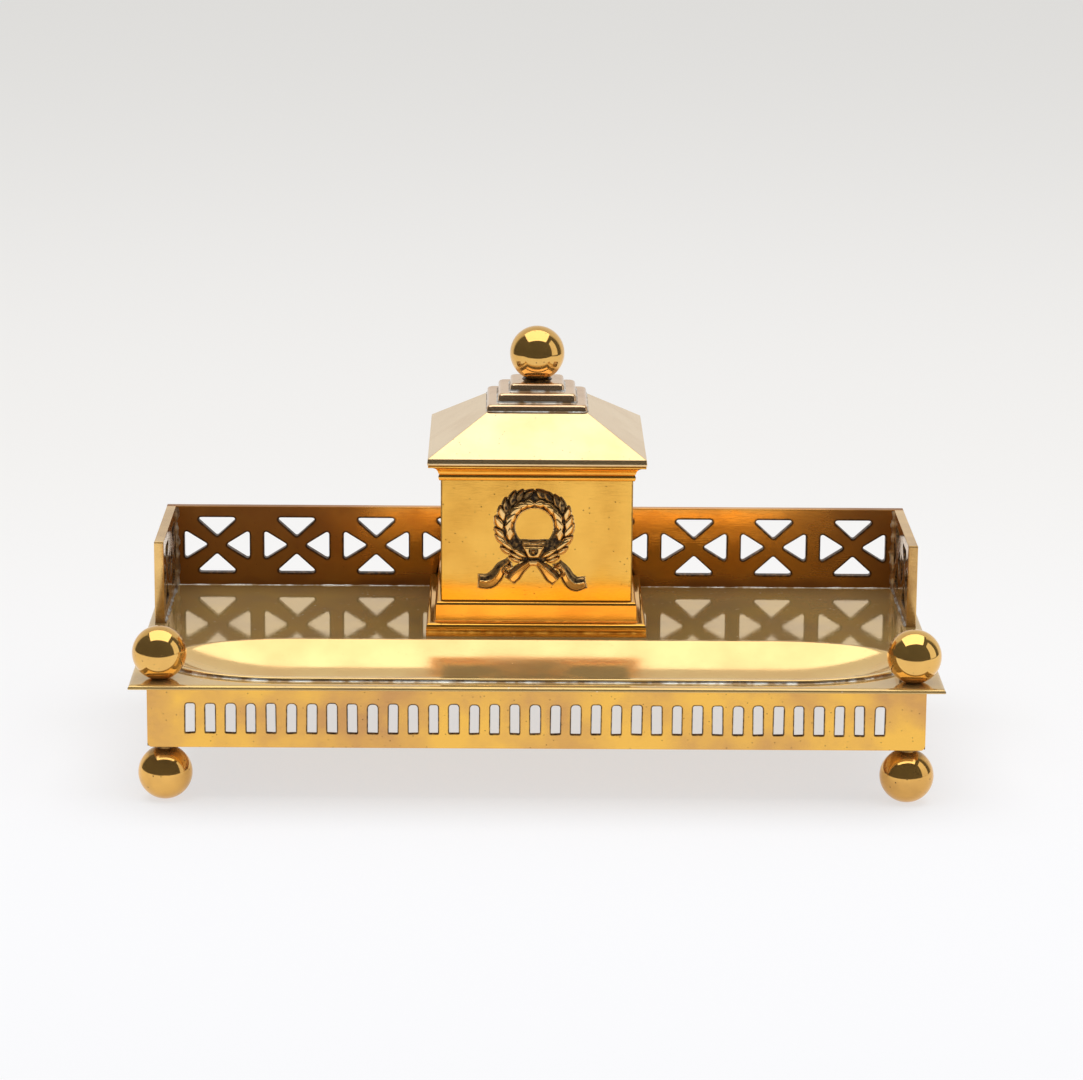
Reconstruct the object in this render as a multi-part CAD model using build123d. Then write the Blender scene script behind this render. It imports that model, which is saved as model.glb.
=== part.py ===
from build123d import *
import os
from math import acos, asin, atan, cos, pi, radians, sin, sqrt, tan

# A brass desk inkstand: a pierced tray on four ball feet, a sunk pen pan in front, a low
# pierced gallery round the back, and a square inkwell with a hinged, stepped lid.
# Millimetres. The origin is on the table under the middle of the tray, the front faces -Y.

# Tray plate and the pierced apron under it
tray_length = 250.0
tray_depth = 132.0
plate_thickness = 1.4
apron_inset = 5.35
apron_height = 19.6
apron_thickness = 1.3
slot_pitch = 6.236
slot_width = 3.0
slot_height = 9.2
slot_sill = 4.7
slot_corner = 0.75
slot_end_margin = 13.5

# Turned balls: feet, front corner balls and the lid's finial, their round faces as flats
ball_sides = 24
ball_bands = 9
ball_pole_radius = 0.8
foot_ball_radius = 8.4
foot_flat_radius = 1.5
foot_inset = 10.35
foot_neck_radius = 2.6
foot_neck_height = 0.93
corner_ball_radius = 8.4
corner_ball_flat_radius = 2.2
corner_ball_inset = 9.1
finial_ball_radius = 8.4
finial_neck_radius = 2.6
finial_neck_height = 1.0

# Gussets inside the apron's corners, which the feet are brazed to
gusset_leg = 18.0
gusset_thickness = 1.6

# Pen pan: a long dish with oval ends, hung in the plate by its flange
pan_front_margin = 5.9
pan_back_margin = 6.1
pan_end_margin = 8.5
pan_end_reach = 40.5
pan_flange_width = 2.0
pan_flange_thickness = 1.1
pan_depth = 8.7
pan_wall = 1.0
pan_floor_half = 5.0
pan_clearance = 0.3
pan_end_sides = 12
pan_bands = 5

# Gallery of cast plates, pierced with saltires
gallery_thickness = 3.1
gallery_height = 27.0
gallery_side_inset = 2.15
gallery_back_inset = 3.3
gallery_front_setback = 74.7
panel_height = 18.9
panel_sill = 4.3
back_panels = 9
back_end_stile = 5.8
back_stile = 4.85
side_panels = 2
side_end_stile = 2.8
side_stile = 4.5
saltire_corner_x = 3.65
saltire_corner_z = 4.35
saltire_centre_x = 2.75
saltire_centre_z = 2.85

# Square inkwell with its base moulding and cornice
well_size = 60.4
well_wall = 1.5
well_height = 55.6
well_floor_thickness = 2.0
base_lower_projection = 5.0
base_lower_height = 4.3
base_lower_round = 0.9
base_upper_projection = 1.96
base_height = 10.7
base_upper_round = 0.6
cornice_band_projection = 0.7
cornice_band_height = 1.9
cornice_projection = 4.4
cornice_height = 5.5
cornice_edge = 0.7

# Glass ink pot that stands in the well
pot_clearance = 0.7
pot_corner_chamfer = 4.0
pot_height = 46.5
pot_bore_radius = 21.0
pot_bore_depth = 39.0

# Lid: a band, a hipped roof and three stepped plates
lid_gap = 0.1
lid_eave_projection = 4.5
lid_band_flare = 0.2
lid_band_height = 2.1
lid_wall = 1.5
roof_rise = 11.6
roof_top_half = 15.8
lid_step_large_half = 15.8
lid_step_large_height = 2.1
lid_step_middle_half = 12.1
lid_step_middle_height = 3.0
lid_step_small_half = 8.24
lid_step_small_height = 2.5
step_batter = 0.3

# Butt hinge let in between the cornice and the lid
hinge_length = 24.0
hinge_knuckles = 3
hinge_barrel_radius = 1.4
hinge_setback = 0.4
hinge_pin_radius = 0.6
hinge_pin_clearance = 0.05
hinge_gap = 0.15
hinge_leaf_width = 4.6
hinge_leaf_thickness = 0.8

# Laurel wreath with a ribbon, cast and soldered to the front of the well
wreath_height_on_well = 35.6
wreath_radius = 9.5
wreath_band_width = 3.4
wreath_backing = 0.8
leaf_rows = 8
leaf_length = 5.0
leaf_width = 2.5
leaf_rise = 2.0
leaf_splay = 22.0
leaf_offset = 0.5
leaf_first_angle = 24.0
leaf_last_angle = 154.0
clasp_top_width = 7.0
clasp_bottom_width = 3.0
clasp_height = 4.6
clasp_thickness = 2.2
clasp_bar_height = 1.4
boss_radius = 1.1
boss_rise = 0.6
ribbon_thickness = 1.0
ribbon_half_span = 17.1
ribbon_drop = 20.2
ribbon_tip_height = 2.9
ribbon_tip_slant = 0.8
ribbon_shoulder_x = 10.0
ribbon_shoulder_drop = 10.7
ribbon_fold_x = 7.6
ribbon_fold_drop = 18.4
ribbon_knot_height = 3.6
ribbon_lower_sag = 0.7
ribbon_upper_sag = 2.0

# Levels and places worked out from the sizes above
foot_ball_height = sqrt(foot_ball_radius**2 - foot_flat_radius**2)
apron_bottom = foot_ball_height + foot_ball_radius + foot_neck_height
plate_bottom = apron_bottom + apron_height
plate_top = plate_bottom + plate_thickness
front_edge = -tray_depth / 2
back_edge = tray_depth / 2
apron_half_length = tray_length / 2 - apron_inset
apron_half_depth = tray_depth / 2 - apron_inset
gallery_outer_x = tray_length / 2 - gallery_side_inset
gallery_outer_y = back_edge - gallery_back_inset
gallery_inner_y = gallery_outer_y - gallery_thickness
gallery_front_y = front_edge + gallery_front_setback
well_half = well_size / 2
well_y = gallery_inner_y - well_half
well_front_y = well_y - well_half
well_top = plate_top + well_height
lid_bottom = well_top + lid_gap
lid_half = well_half + lid_eave_projection
roof_top = lid_bottom + lid_band_height + roof_rise
lid_steps_top = roof_top + lid_step_large_height + lid_step_middle_height + lid_step_small_height
hinge_y = well_y + well_half + cornice_projection + hinge_setback
hinge_z = (well_top + lid_bottom) / 2
pan_back = well_front_y - base_lower_projection - pan_back_margin
pan_half_width = (pan_back - front_edge - pan_front_margin) / 2
pan_y = pan_back - pan_half_width
pan_straight_half = tray_length / 2 - pan_end_margin - pan_end_reach
pan_top = plate_top + pan_flange_thickness


def faceted(rings):
    """A solid with flat sides through rings of points, from the bottom up, closed by flat ends."""
    faces = [Face(Wire.make_polygon(rings[0])), Face(Wire.make_polygon(rings[-1]))]
    for low, high in zip(rings, rings[1:]):
        for i in range(len(low)):
            faces.append(Face(Wire.make_polygon([low[i - 1], low[i], high[i], high[i - 1]])))
    return Solid(Shell(faces))


def round_ring(radius, z):
    """Points round a circle at one level."""
    angles = [2 * pi * i / ball_sides for i in range(ball_sides)]
    return [(radius * cos(a), radius * sin(a), z) for a in angles]


def ball_rings(radius, low_radius, high_radius, z_low):
    """Rings up a ball, from where its radius is low_radius, at z_low, to where it is high_radius."""
    start = -acos(low_radius / radius)
    end = acos(high_radius / radius)
    rings = []
    for i in range(ball_bands + 1):
        a = start + (end - start) * i / ball_bands
        rings.append(round_ring(radius * cos(a), z_low + radius * (sin(a) - sin(start))))
    return rings


def rod(radius, z_low, z_high):
    """An upright round rod from z_low to z_high."""
    return Pos(0, 0, z_low) * Cylinder(radius, z_high - z_low, align=(Align.CENTER, Align.CENTER, Align.MIN))


def foot_places():
    """Where the four feet stand, as places on the table."""
    x = tray_length / 2 - foot_inset
    y = tray_depth / 2 - foot_inset
    return [Pos(sx * x, sy * y, 0) for sx in (-1, 1) for sy in (-1, 1)]


def corner_ball_places():
    """Where the two front corner balls stand on the plate."""
    x = tray_length / 2 - corner_ball_inset
    return [Pos(sx * x, front_edge + corner_ball_inset, 0) for sx in (-1, 1)]


def oval_ring(half_width, end_reach, z):
    """Points round a long outline with straight sides and elliptic ends, at one level."""
    points = []
    for s in (1, -1):
        for i in range(pan_end_sides + 1):
            t = radians(180 * i / pan_end_sides - 90)
            points.append((s * (pan_straight_half + end_reach * cos(t)), s * half_width * sin(t), z))
    return points


def dish(wall, z_high):
    """The solid filling the pan up to z_high, grown by a wall; also its half width and reach there."""
    inner_half = pan_half_width - pan_flange_width
    stretch = (pan_end_reach - pan_flange_width) / inner_half
    section = (inner_half**2 + pan_depth**2) / (2 * pan_depth)
    start = asin(pan_floor_half / (section + wall))
    end = acos((section - pan_depth - z_high) / (section + wall))
    rings = []
    for i in range(pan_bands + 1):
        a = start + (end - start) * i / pan_bands
        half = (section + wall) * sin(a)
        rings.append(oval_ring(half, stretch * half, section - pan_depth - (section + wall) * cos(a)))
    return faceted(rings), half, stretch * half


def tray_plate():
    """The flat plate with the pan's opening."""
    under_flange, half, reach = dish(pan_wall, -pan_flange_thickness)
    opening = oval_ring(half + pan_clearance, reach + pan_clearance, 0)
    plate = Rectangle(tray_length, tray_depth) - Pos(0, pan_y) * Face(Wire.make_polygon(opening))
    return Pos(0, 0, plate_bottom) * extrude(plate, plate_thickness)


def apron_strip(length):
    """One pierced apron strip along X with mitred ends, its outer face at y = 0, facing -Y."""
    count = int((length - 2 * slot_end_margin) / slot_pitch) + 1
    slot = Rectangle(slot_width, slot_height)
    slot = chamfer(slot.vertices().group_by(Axis.Y)[-1], slot_corner)
    face = Pos(0, apron_height / 2) * Rectangle(length, apron_height)
    slot_middle = slot_sill + slot_height / 2
    face -= [Pos((i - (count - 1) / 2) * slot_pitch, slot_middle) * slot for i in range(count)]
    strip = extrude(Plane.XZ * face, -apron_thickness)
    half = length / 2
    mitre = Polygon((-half, 0), (half, 0), (half - apron_thickness, apron_thickness),
                    (apron_thickness - half, apron_thickness), align=None)
    return Pos(0, 0, apron_bottom) * (strip & extrude(mitre, apron_height))


def aprons():
    """The four strips of the apron, soldered together at their mitres."""
    long_strip = apron_strip(2 * apron_half_length)
    short_strip = apron_strip(2 * apron_half_depth)
    return {
        "front_apron": Pos(0, -apron_half_depth, 0) * long_strip,
        "rear_apron": Pos(0, apron_half_depth, 0) * Rot(0, 0, 180) * long_strip,
        "left_apron": Pos(-apron_half_length, 0, 0) * Rot(0, 0, -90) * short_strip,
        "right_apron": Pos(apron_half_length, 0, 0) * Rot(0, 0, 90) * short_strip,
    }


def corner_gussets():
    """Triangular plates soldered into the apron's lower corners, which carry the feet."""
    gussets = []
    x = apron_half_length - apron_thickness
    y = apron_half_depth - apron_thickness
    for sx in (-1, 1):
        for sy in (-1, 1):
            corner = Polyline((sx * x, sy * y), (sx * (x - gusset_leg), sy * y),
                              (sx * x, sy * (y - gusset_leg)), close=True)
            gussets.append(extrude(make_face(corner), gusset_thickness, dir=(0, 0, 1)))
    return Pos(0, 0, apron_bottom) * (Part() + gussets)


def ball_feet():
    """Four turned balls, each in one piece with its neck."""
    rings = ball_rings(foot_ball_radius, foot_flat_radius, foot_neck_radius, 0)
    foot = faceted(rings + [round_ring(foot_neck_radius, apron_bottom)])
    return Part() + [place * foot for place in foot_places()]


def corner_balls():
    """The two balls soldered to the plate's front corners."""
    ball = faceted(ball_rings(corner_ball_radius, corner_ball_flat_radius, ball_pole_radius, plate_top))
    return Part() + [place * ball for place in corner_ball_places()]


def pen_pan():
    """The pressed pan: a dish hanging from a flange that lies on the plate."""
    flange = Face(Wire.make_polygon(oval_ring(pan_half_width, pan_end_reach, 0)))
    pan = extrude(flange, -pan_flange_thickness) + dish(pan_wall, -pan_flange_thickness)[0]
    return Pos(0, pan_y, pan_top) * (pan - dish(0, 0)[0])


def saltire_openings(width):
    """The four triangles that leave an X of four bars in a panel of one width, about its centre."""
    x, z = width / 2, panel_height / 2
    base_x, base_z = x - saltire_corner_x, z - saltire_corner_z
    triangles = []
    for s in (-1, 1):
        triangles.append(Polygon((-base_x, s * z), (base_x, s * z), (0, s * saltire_centre_z), align=None))
        triangles.append(Polygon((s * x, -base_z), (s * x, base_z), (s * saltire_centre_x, 0), align=None))
    return [make_face(t.wire()) for t in triangles]


def gallery_face(length, count, end_stile, stile):
    """A gallery plate's face, standing on y = 0 and centred on x = 0, with its row of saltires."""
    face = Pos(0, gallery_height / 2) * Rectangle(length, gallery_height)
    middle = panel_sill + panel_height / 2
    width = (length - 2 * end_stile - (count - 1) * stile) / count
    for i in range(count):
        x = (i - (count - 1) / 2) * (width + stile)
        face -= [Pos(x, middle) * t for t in saltire_openings(width)]
    return face


def galleries():
    """The back plate and the two side plates that butt against it, soldered to the tray."""
    back = gallery_face(2 * gallery_outer_x, back_panels, back_end_stile, back_stile)
    side_length = gallery_inner_y - gallery_front_y
    side_middle = (gallery_inner_y + gallery_front_y) / 2
    side = gallery_face(side_length, side_panels, side_end_stile, side_stile)
    side_plate = Pos(0, side_middle, plate_top) * extrude(Plane.YZ * side, gallery_thickness)
    return {
        "back_gallery": Pos(0, gallery_outer_y, plate_top) * extrude(Plane.XZ * back, gallery_thickness),
        "left_gallery": Pos(-gallery_outer_x, 0, 0) * side_plate,
        "right_gallery": Pos(gallery_outer_x - gallery_thickness, 0, 0) * side_plate,
    }


def well_body():
    """The inkwell's square case, folded from sheet and open at the top."""
    wall = Rectangle(well_size, well_size) - Rectangle(well_size - 2 * well_wall, well_size - 2 * well_wall)
    return Pos(0, well_y, plate_top) * extrude(wall, well_height)


def well_floor():
    """The floor inside the case, which the pot stands on."""
    side = well_size - 2 * well_wall
    return Pos(0, well_y, plate_top) * extrude(Rectangle(side, side), well_floor_thickness)


def moulding_run(profile, region, z_low):
    """A moulding round the front of the well, cut to one region of the plan; z_low is its foot."""
    reach = 2 * well_size
    bar = extrude(Plane.YZ * profile, reach, both=True)
    return Pos(0, well_y, z_low) * (Pos(0, -well_half, 0) * bar & extrude(region, reach, both=True))


def mitre_region():
    """The plan region in front of the well between its two diagonals."""
    reach = 2 * well_size
    return make_face(Polyline((0, 0), (-reach, -reach), (reach, -reach), close=True))


def base_profile():
    """Section of the base moulding: two steps with rounded upper edges, outwards to -X."""
    low, up = base_lower_projection, base_upper_projection
    outline = [
        Line((0, 0), (-low, 0)),
        Line((-low, 0), (-low, base_lower_height - base_lower_round)),
        RadiusArc((-low, base_lower_height - base_lower_round),
                  (base_lower_round - low, base_lower_height), base_lower_round),
        Line((base_lower_round - low, base_lower_height), (-up, base_lower_height)),
        Line((-up, base_lower_height), (-up, base_height - base_upper_round)),
        RadiusArc((-up, base_height - base_upper_round), (base_upper_round - up, base_height), base_upper_round),
        Line((base_upper_round - up, base_height), (0, base_height)),
        Line((0, base_height), (0, 0)),
    ]
    return make_face(outline)


def base_mouldings():
    """Front and side runs of the base moulding; the side runs die into the gallery."""
    front = moulding_run(base_profile(), mitre_region(), plate_top)
    reach = 2 * well_size
    # seen from the left side the run is mitred at the front corner and square at the back
    side_region = make_face(Polyline((0, 0), (-reach, -reach), (well_half, -reach), (well_half, 0), close=True))
    side = Pos(0, -well_y, 0) * moulding_run(base_profile(), side_region, plate_top)
    return {
        "base_front_moulding": front,
        "base_left_moulding": Pos(0, well_y, 0) * Rot(0, 0, -90) * mirror(side, Plane.YZ),
        "base_right_moulding": Pos(0, well_y, 0) * Rot(0, 0, 90) * side,
    }


def cornice_profile():
    """Section of the cornice: a flat band, a hollow and a square edge, outwards to -X."""
    band, out = cornice_band_projection, cornice_projection
    hollow_top = cornice_height - cornice_edge
    outline = [
        Line((0, 0), (-band, 0)),
        Line((-band, 0), (-band, cornice_band_height)),
        SagittaArc((-band, cornice_band_height), (-out, hollow_top), -0.2 * (out - band)),
        Line((-out, hollow_top), (-out, cornice_height)),
        Line((-out, cornice_height), (0, cornice_height)),
        Line((0, cornice_height), (0, 0)),
    ]
    return make_face(outline)


def hinge_cylinder(radius, length):
    """A cylinder along X on the hinge's axis."""
    return Pos(0, hinge_y, hinge_z) * Rot(0, 90, 0) * Cylinder(radius, length)


def leaf_plate(z_low):
    """The flat of a hinge leaf, from just clear of the barrel forwards."""
    plate_back = hinge_y - hinge_barrel_radius - hinge_gap
    depth = hinge_leaf_width - hinge_barrel_radius - hinge_gap
    plate = Box(hinge_length, depth, hinge_leaf_thickness, align=(Align.CENTER, Align.MAX, Align.MIN))
    return Pos(0, plate_back, z_low) * plate


def leaf_recess(z_low, height):
    """The recess that a hinge leaf lies in, open to the back."""
    recess = Box(hinge_length + 2 * hinge_gap, 2 * hinge_leaf_width, height,
                 align=(Align.CENTER, Align.MIN, Align.MIN))
    return Pos(0, hinge_y - hinge_leaf_width, z_low) * recess


def hinge_relief():
    """The notch along the back edge that clears the barrel."""
    reach = hinge_barrel_radius + hinge_gap
    notch = Box(hinge_length + 2 * hinge_gap, 2 * reach, 2 * reach)
    return Pos(0, hinge_y, hinge_z) * notch


def cornices():
    """The four mitred runs of the cornice; the back one is let out for the hinge."""
    front = Pos(0, -well_y, 0) * moulding_run(cornice_profile(), mitre_region(), well_top - cornice_height)
    turned = {name: Pos(0, well_y, 0) * Rot(0, 0, turn) * front for name, turn in
              (("cornice_front", 0), ("cornice_right", 90), ("cornice_back", 180), ("cornice_left", -90))}
    turned["cornice_back"] -= hinge_relief()
    turned["cornice_back"] -= leaf_recess(well_top - hinge_leaf_thickness, 2 * hinge_leaf_thickness)
    return turned


def glass_pot():
    """The glass liner: a square block with cut corners and a round bore."""
    side = well_size - 2 * well_wall - 2 * pot_clearance
    outline = chamfer(Rectangle(side, side).vertices(), pot_corner_chamfer)
    block = extrude(outline, pot_height) - rod(pot_bore_radius, pot_height - pot_bore_depth, pot_height + 1)
    return Pos(0, well_y, plate_top + well_floor_thickness) * block


def square_ring(half, z):
    """The four corners of a square at one level."""
    return [(half, half, z), (-half, half, z), (-half, -half, z), (half, -half, z)]


def lid_shell():
    """The lid's band and hipped roof, hollow below, with a flat top for the stepped plates."""
    slope = atan(roof_rise / (lid_half - roof_top_half))
    rise = lid_band_height + roof_rise
    shell = faceted([square_ring(lid_half + lid_band_flare, 0), square_ring(lid_half, lid_band_height),
                     square_ring(roof_top_half, rise)])
    inner_half = lid_half - lid_wall
    inner_eave = lid_band_height - lid_wall / cos(slope) + lid_wall * tan(slope)
    inner_top_half = inner_half - (rise - lid_wall - inner_eave) / tan(slope)
    shell -= faceted([square_ring(inner_half, -1), square_ring(inner_half, inner_eave),
                      square_ring(inner_top_half, rise - lid_wall)])
    shell = Pos(0, well_y, lid_bottom) * shell
    return shell - hinge_relief() - leaf_recess(lid_bottom - hinge_leaf_thickness, 2 * hinge_leaf_thickness)


def lid_steps():
    """The three stepped plates, their sides leaning in a little, soldered in a stack on the roof."""
    steps = {}
    z_low = roof_top
    for name, half, height in (("lid_step_large", lid_step_large_half, lid_step_large_height),
                               ("lid_step_middle", lid_step_middle_half, lid_step_middle_height),
                               ("lid_step_small", lid_step_small_half, lid_step_small_height)):
        step = faceted([square_ring(half, 0), square_ring(half - step_batter, height)])
        steps[name] = Pos(0, well_y, z_low) * step
        z_low += height
    return steps


def finial_ball():
    """The lid's knob: a turned ball on a short neck."""
    ball_low = lid_steps_top + finial_neck_height
    rings = ball_rings(finial_ball_radius, finial_neck_radius, ball_pole_radius, ball_low)
    return Pos(0, well_y, 0) * faceted([round_ring(finial_neck_radius, lid_steps_top)] + rings)


def hinge_leaf(first, z_low):
    """A hinge leaf: its flat, and every other knuckle from the first one given, with webs between them."""
    knuckle = (hinge_length - (hinge_knuckles - 1) * hinge_gap) / hinge_knuckles
    leaf = leaf_plate(z_low)
    for i in range(first, hinge_knuckles, 2):
        x = (i - (hinge_knuckles - 1) / 2) * (knuckle + hinge_gap)
        web = Box(knuckle, hinge_barrel_radius + 2 * hinge_gap, hinge_leaf_thickness,
                  align=(Align.CENTER, Align.MAX, Align.MIN))
        leaf += Pos(x, 0, 0) * hinge_cylinder(hinge_barrel_radius, knuckle)
        leaf += Pos(x, hinge_y, z_low) * web
    return leaf - hinge_cylinder(hinge_pin_radius + hinge_pin_clearance, 2 * hinge_length)


def hinge():
    """The well's leaf, the lid's leaf and the pin."""
    return {
        "hinge_well_leaf": hinge_leaf(0, well_top - hinge_leaf_thickness),
        "hinge_lid_leaf": hinge_leaf(1, lid_bottom),
        "hinge_pin": hinge_cylinder(hinge_pin_radius, hinge_length),
    }


def laurel_leaf():
    """A leaf lying along X, ridged along its middle, its foot at the origin."""
    wide = 0.42 * leaf_length
    blade = make_face(Polyline((0, 0), (wide, -leaf_width / 2), (leaf_length, 0), (wide, leaf_width / 2),
                               close=True))
    return loft([blade, Vertex(wide, 0, leaf_rise)])


def laurel_branch():
    """The right branch: rows of leaves in pairs along half the ring, from the clasp to the top."""
    leaf = laurel_leaf()
    step = (leaf_last_angle - leaf_first_angle) / (leaf_rows - 1)
    leaves = []
    for row in range(leaf_rows):
        around = -90 + leaf_first_angle + row * step
        for side in (-1, 1):
            radius = wreath_radius + side * leaf_offset
            foot = Pos(radius * cos(radians(around)), radius * sin(radians(around)), 0)
            leaves.append(foot * Rot(0, 0, around + 90 - side * leaf_splay) * leaf)
    return leaves


def ribbon_half():
    """The right half of the ribbon: from the knot down to its fold, and its tail."""
    knot_low = -wreath_radius - clasp_height / 2 - ribbon_knot_height / 2
    fold = (ribbon_fold_x, -ribbon_fold_drop)
    shoulder = (ribbon_shoulder_x, -ribbon_shoulder_drop)
    tip_low = (ribbon_half_span - ribbon_tip_slant, -ribbon_drop)
    tip_high = (ribbon_half_span, ribbon_tip_height - ribbon_drop)
    tail = make_face([Line(shoulder, fold), SagittaArc(fold, tip_low, ribbon_lower_sag),
                      Line(tip_low, tip_high), SagittaArc(tip_high, shoulder, ribbon_upper_sag)])
    strap = make_face(Polyline((0, knot_low), fold, shoulder, (0, knot_low + ribbon_knot_height), close=True))
    return extrude(tail, ribbon_thickness) + extrude(strap, 1.5 * ribbon_thickness)


def wreath():
    """The laurel wreath: a ring, two branches of leaves, the clasp with its boss, and the ribbon."""
    ring = Circle(wreath_radius + wreath_band_width / 2) - Circle(wreath_radius - wreath_band_width / 2)
    branch = laurel_branch()
    body = extrude(ring, wreath_backing) + branch + [mirror(leaf, Plane.YZ) for leaf in branch]
    top_y = -wreath_radius + clasp_height / 2
    clasp = make_face(Polyline((-clasp_top_width / 2, top_y), (clasp_top_width / 2, top_y),
                               (clasp_bottom_width / 2, top_y - clasp_height),
                               (-clasp_bottom_width / 2, top_y - clasp_height), close=True))
    bar = Pos(0, top_y) * Rectangle(clasp_top_width, clasp_bar_height)
    boss_y = top_y - 0.45 * clasp_height
    body += extrude(clasp, clasp_thickness) + extrude(bar, clasp_thickness)
    body += Pos(0, boss_y, 0) * rod(boss_radius, 0, clasp_thickness + boss_rise)
    ribbon = ribbon_half()
    body += ribbon
    body += mirror(ribbon, Plane.YZ)
    face = Plane(origin=(0, well_front_y, plate_top + wreath_height_on_well), x_dir=(1, 0, 0), z_dir=(0, -1, 0))
    return face * body


parts = {
    "tray_plate": tray_plate(),
    **aprons(),
    "corner_gussets": corner_gussets(),
    "ball_feet": ball_feet(),
    "corner_balls": corner_balls(),
    "pen_pan": pen_pan(),
    **galleries(),
    "well_body": well_body(),
    "well_floor": well_floor(),
    **base_mouldings(),
    **cornices(),
    "glass_pot": glass_pot(),
    "wreath": wreath(),
    "lid_shell": lid_shell(),
    **lid_steps(),
    "finial_ball": finial_ball(),
    **hinge(),
}
os.makedirs("parts", exist_ok=True)
for name, solid in parts.items():
    export_step(solid, f"parts/{name}.step")
print("lid hinge axis at y =", round(hinge_y, 4), "z =", round(hinge_z, 4))
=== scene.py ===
from math import cos, radians, sin
import bmesh
import bpy
import numpy as np
from mathutils import Matrix, Vector


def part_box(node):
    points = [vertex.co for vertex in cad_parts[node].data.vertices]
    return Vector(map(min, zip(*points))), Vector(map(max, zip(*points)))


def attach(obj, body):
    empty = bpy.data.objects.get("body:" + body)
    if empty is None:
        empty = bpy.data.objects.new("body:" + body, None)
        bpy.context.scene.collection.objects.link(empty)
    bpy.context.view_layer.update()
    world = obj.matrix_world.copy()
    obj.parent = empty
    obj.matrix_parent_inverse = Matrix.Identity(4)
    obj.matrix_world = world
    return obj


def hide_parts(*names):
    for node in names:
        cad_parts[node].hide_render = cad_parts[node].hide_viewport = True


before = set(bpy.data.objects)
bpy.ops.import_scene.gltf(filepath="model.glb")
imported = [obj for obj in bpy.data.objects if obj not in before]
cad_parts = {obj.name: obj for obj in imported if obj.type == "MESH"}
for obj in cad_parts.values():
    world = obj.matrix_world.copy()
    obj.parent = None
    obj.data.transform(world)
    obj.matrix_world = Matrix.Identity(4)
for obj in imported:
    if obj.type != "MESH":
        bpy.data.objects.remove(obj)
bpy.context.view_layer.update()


# ------------------------ the pierced apron
# Four strips of sheet brass, pierced with upright slots and soldered at mitred corners under
# the plate. The slots were cut with a fret saw and filed by hand, so no two are quite alike.

MM = 0.001
slot_pitch = 6.236
slot_width = 2.85
slot_shift = -0.5
slot_height = 9.2
slot_sill = 4.7
slot_end_margin = 13.5
slot_top_radius = 0.95
slot_foot_radius = 0.2
apron_edge = 0.14
apron_corner = 1.5
slot_shade_and_patina_band, near_edge, near_edge_shade_and_patina = 0.5, 0.08, 0.85


def box_mm(node):
    """A CAD node's lowest and highest corners, in millimetres."""
    return np.array(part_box(node)) / MM


def quads(rows, columns, close_rows, close_columns):
    """Corner numbers of every quad in a rows x columns grid, wrapped round where it is closed."""
    r = np.arange(rows if close_rows else rows - 1)
    c = np.arange(columns if close_columns else columns - 1)
    r, c = np.meshgrid(r, c, indexing="ij")
    corners = [(r + i) % rows * columns + (c + j) % columns for i, j in ((0, 0), (1, 0), (1, 1), (0, 1))]
    return np.stack(corners, -1).reshape(-1, 4)


def added(name, data):
    """A new object with this data, in the scene."""
    thing = bpy.data.objects.new(name, data)
    bpy.context.scene.collection.objects.link(thing)
    return thing


def mesh_piece(name, points, faces, patina_and_painted_shade, sharp_angle):
    """A piece from points in millimetres, quads and each point's patina and painted shade, 0 bright to 1
    black.

    Points that meet are merged, and edges sharper than sharp_angle keep flat sides. Normals are
    weighted by area, so that the flats beside a small rounding stay flat.
    """
    mesh = bpy.data.meshes.new(name)
    mesh.from_pydata((points * MM).tolist(), [], faces.tolist())
    layer = mesh.attributes.new("patina_and_painted_shade", "FLOAT", "POINT")
    layer.data.foreach_set("value", patina_and_painted_shade.astype(np.float32))
    work = bmesh.new()
    work.from_mesh(mesh)
    bmesh.ops.remove_doubles(work, verts=work.verts, dist=2e-6)
    bmesh.ops.dissolve_degenerate(work, edges=work.edges, dist=1e-6)
    bmesh.ops.recalc_face_normals(work, faces=work.faces)
    work.to_mesh(mesh)
    work.free()
    mesh.shade_smooth()
    mesh.set_sharp_from_angle(angle=radians(sharp_angle))
    piece = added(name, mesh)
    weighted = piece.modifiers.new("flat_beside_round", "WEIGHTED_NORMAL")
    weighted.keep_sharp = True
    return piece


def make_piece(name, grids, sharp_angle=38.0):
    """A closed piece from (points, close rows, close columns) grids in millimetres.

    A fourth item gives each point's patina and painted shade.
    """
    points, faces, patina_and_painted_shade, start = [], [], [], 0
    for grid, close_rows, close_columns, *dark in grids:
        rows, columns = grid.shape[:2]
        points.append(grid.reshape(-1, 3))
        patina_and_painted_shade.append(np.broadcast_to(dark[0] if dark else 0.0, (rows, columns)).reshape(-1))
        faces.append(quads(rows, columns, close_rows, close_columns) + start)
        start += rows * columns
    points, faces, patina_and_painted_shade = (np.concatenate(part) for part in (points, faces, patina_and_painted_shade))
    return mesh_piece(name, points, faces, patina_and_painted_shade, sharp_angle)


def crowded(count):
    """Numbers from 0 to 1, close together at both ends: (1 - cos(pi t)) / 2."""
    return (1 - np.cos(np.pi * np.arange(count + 1) / count)) / 2


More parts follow.
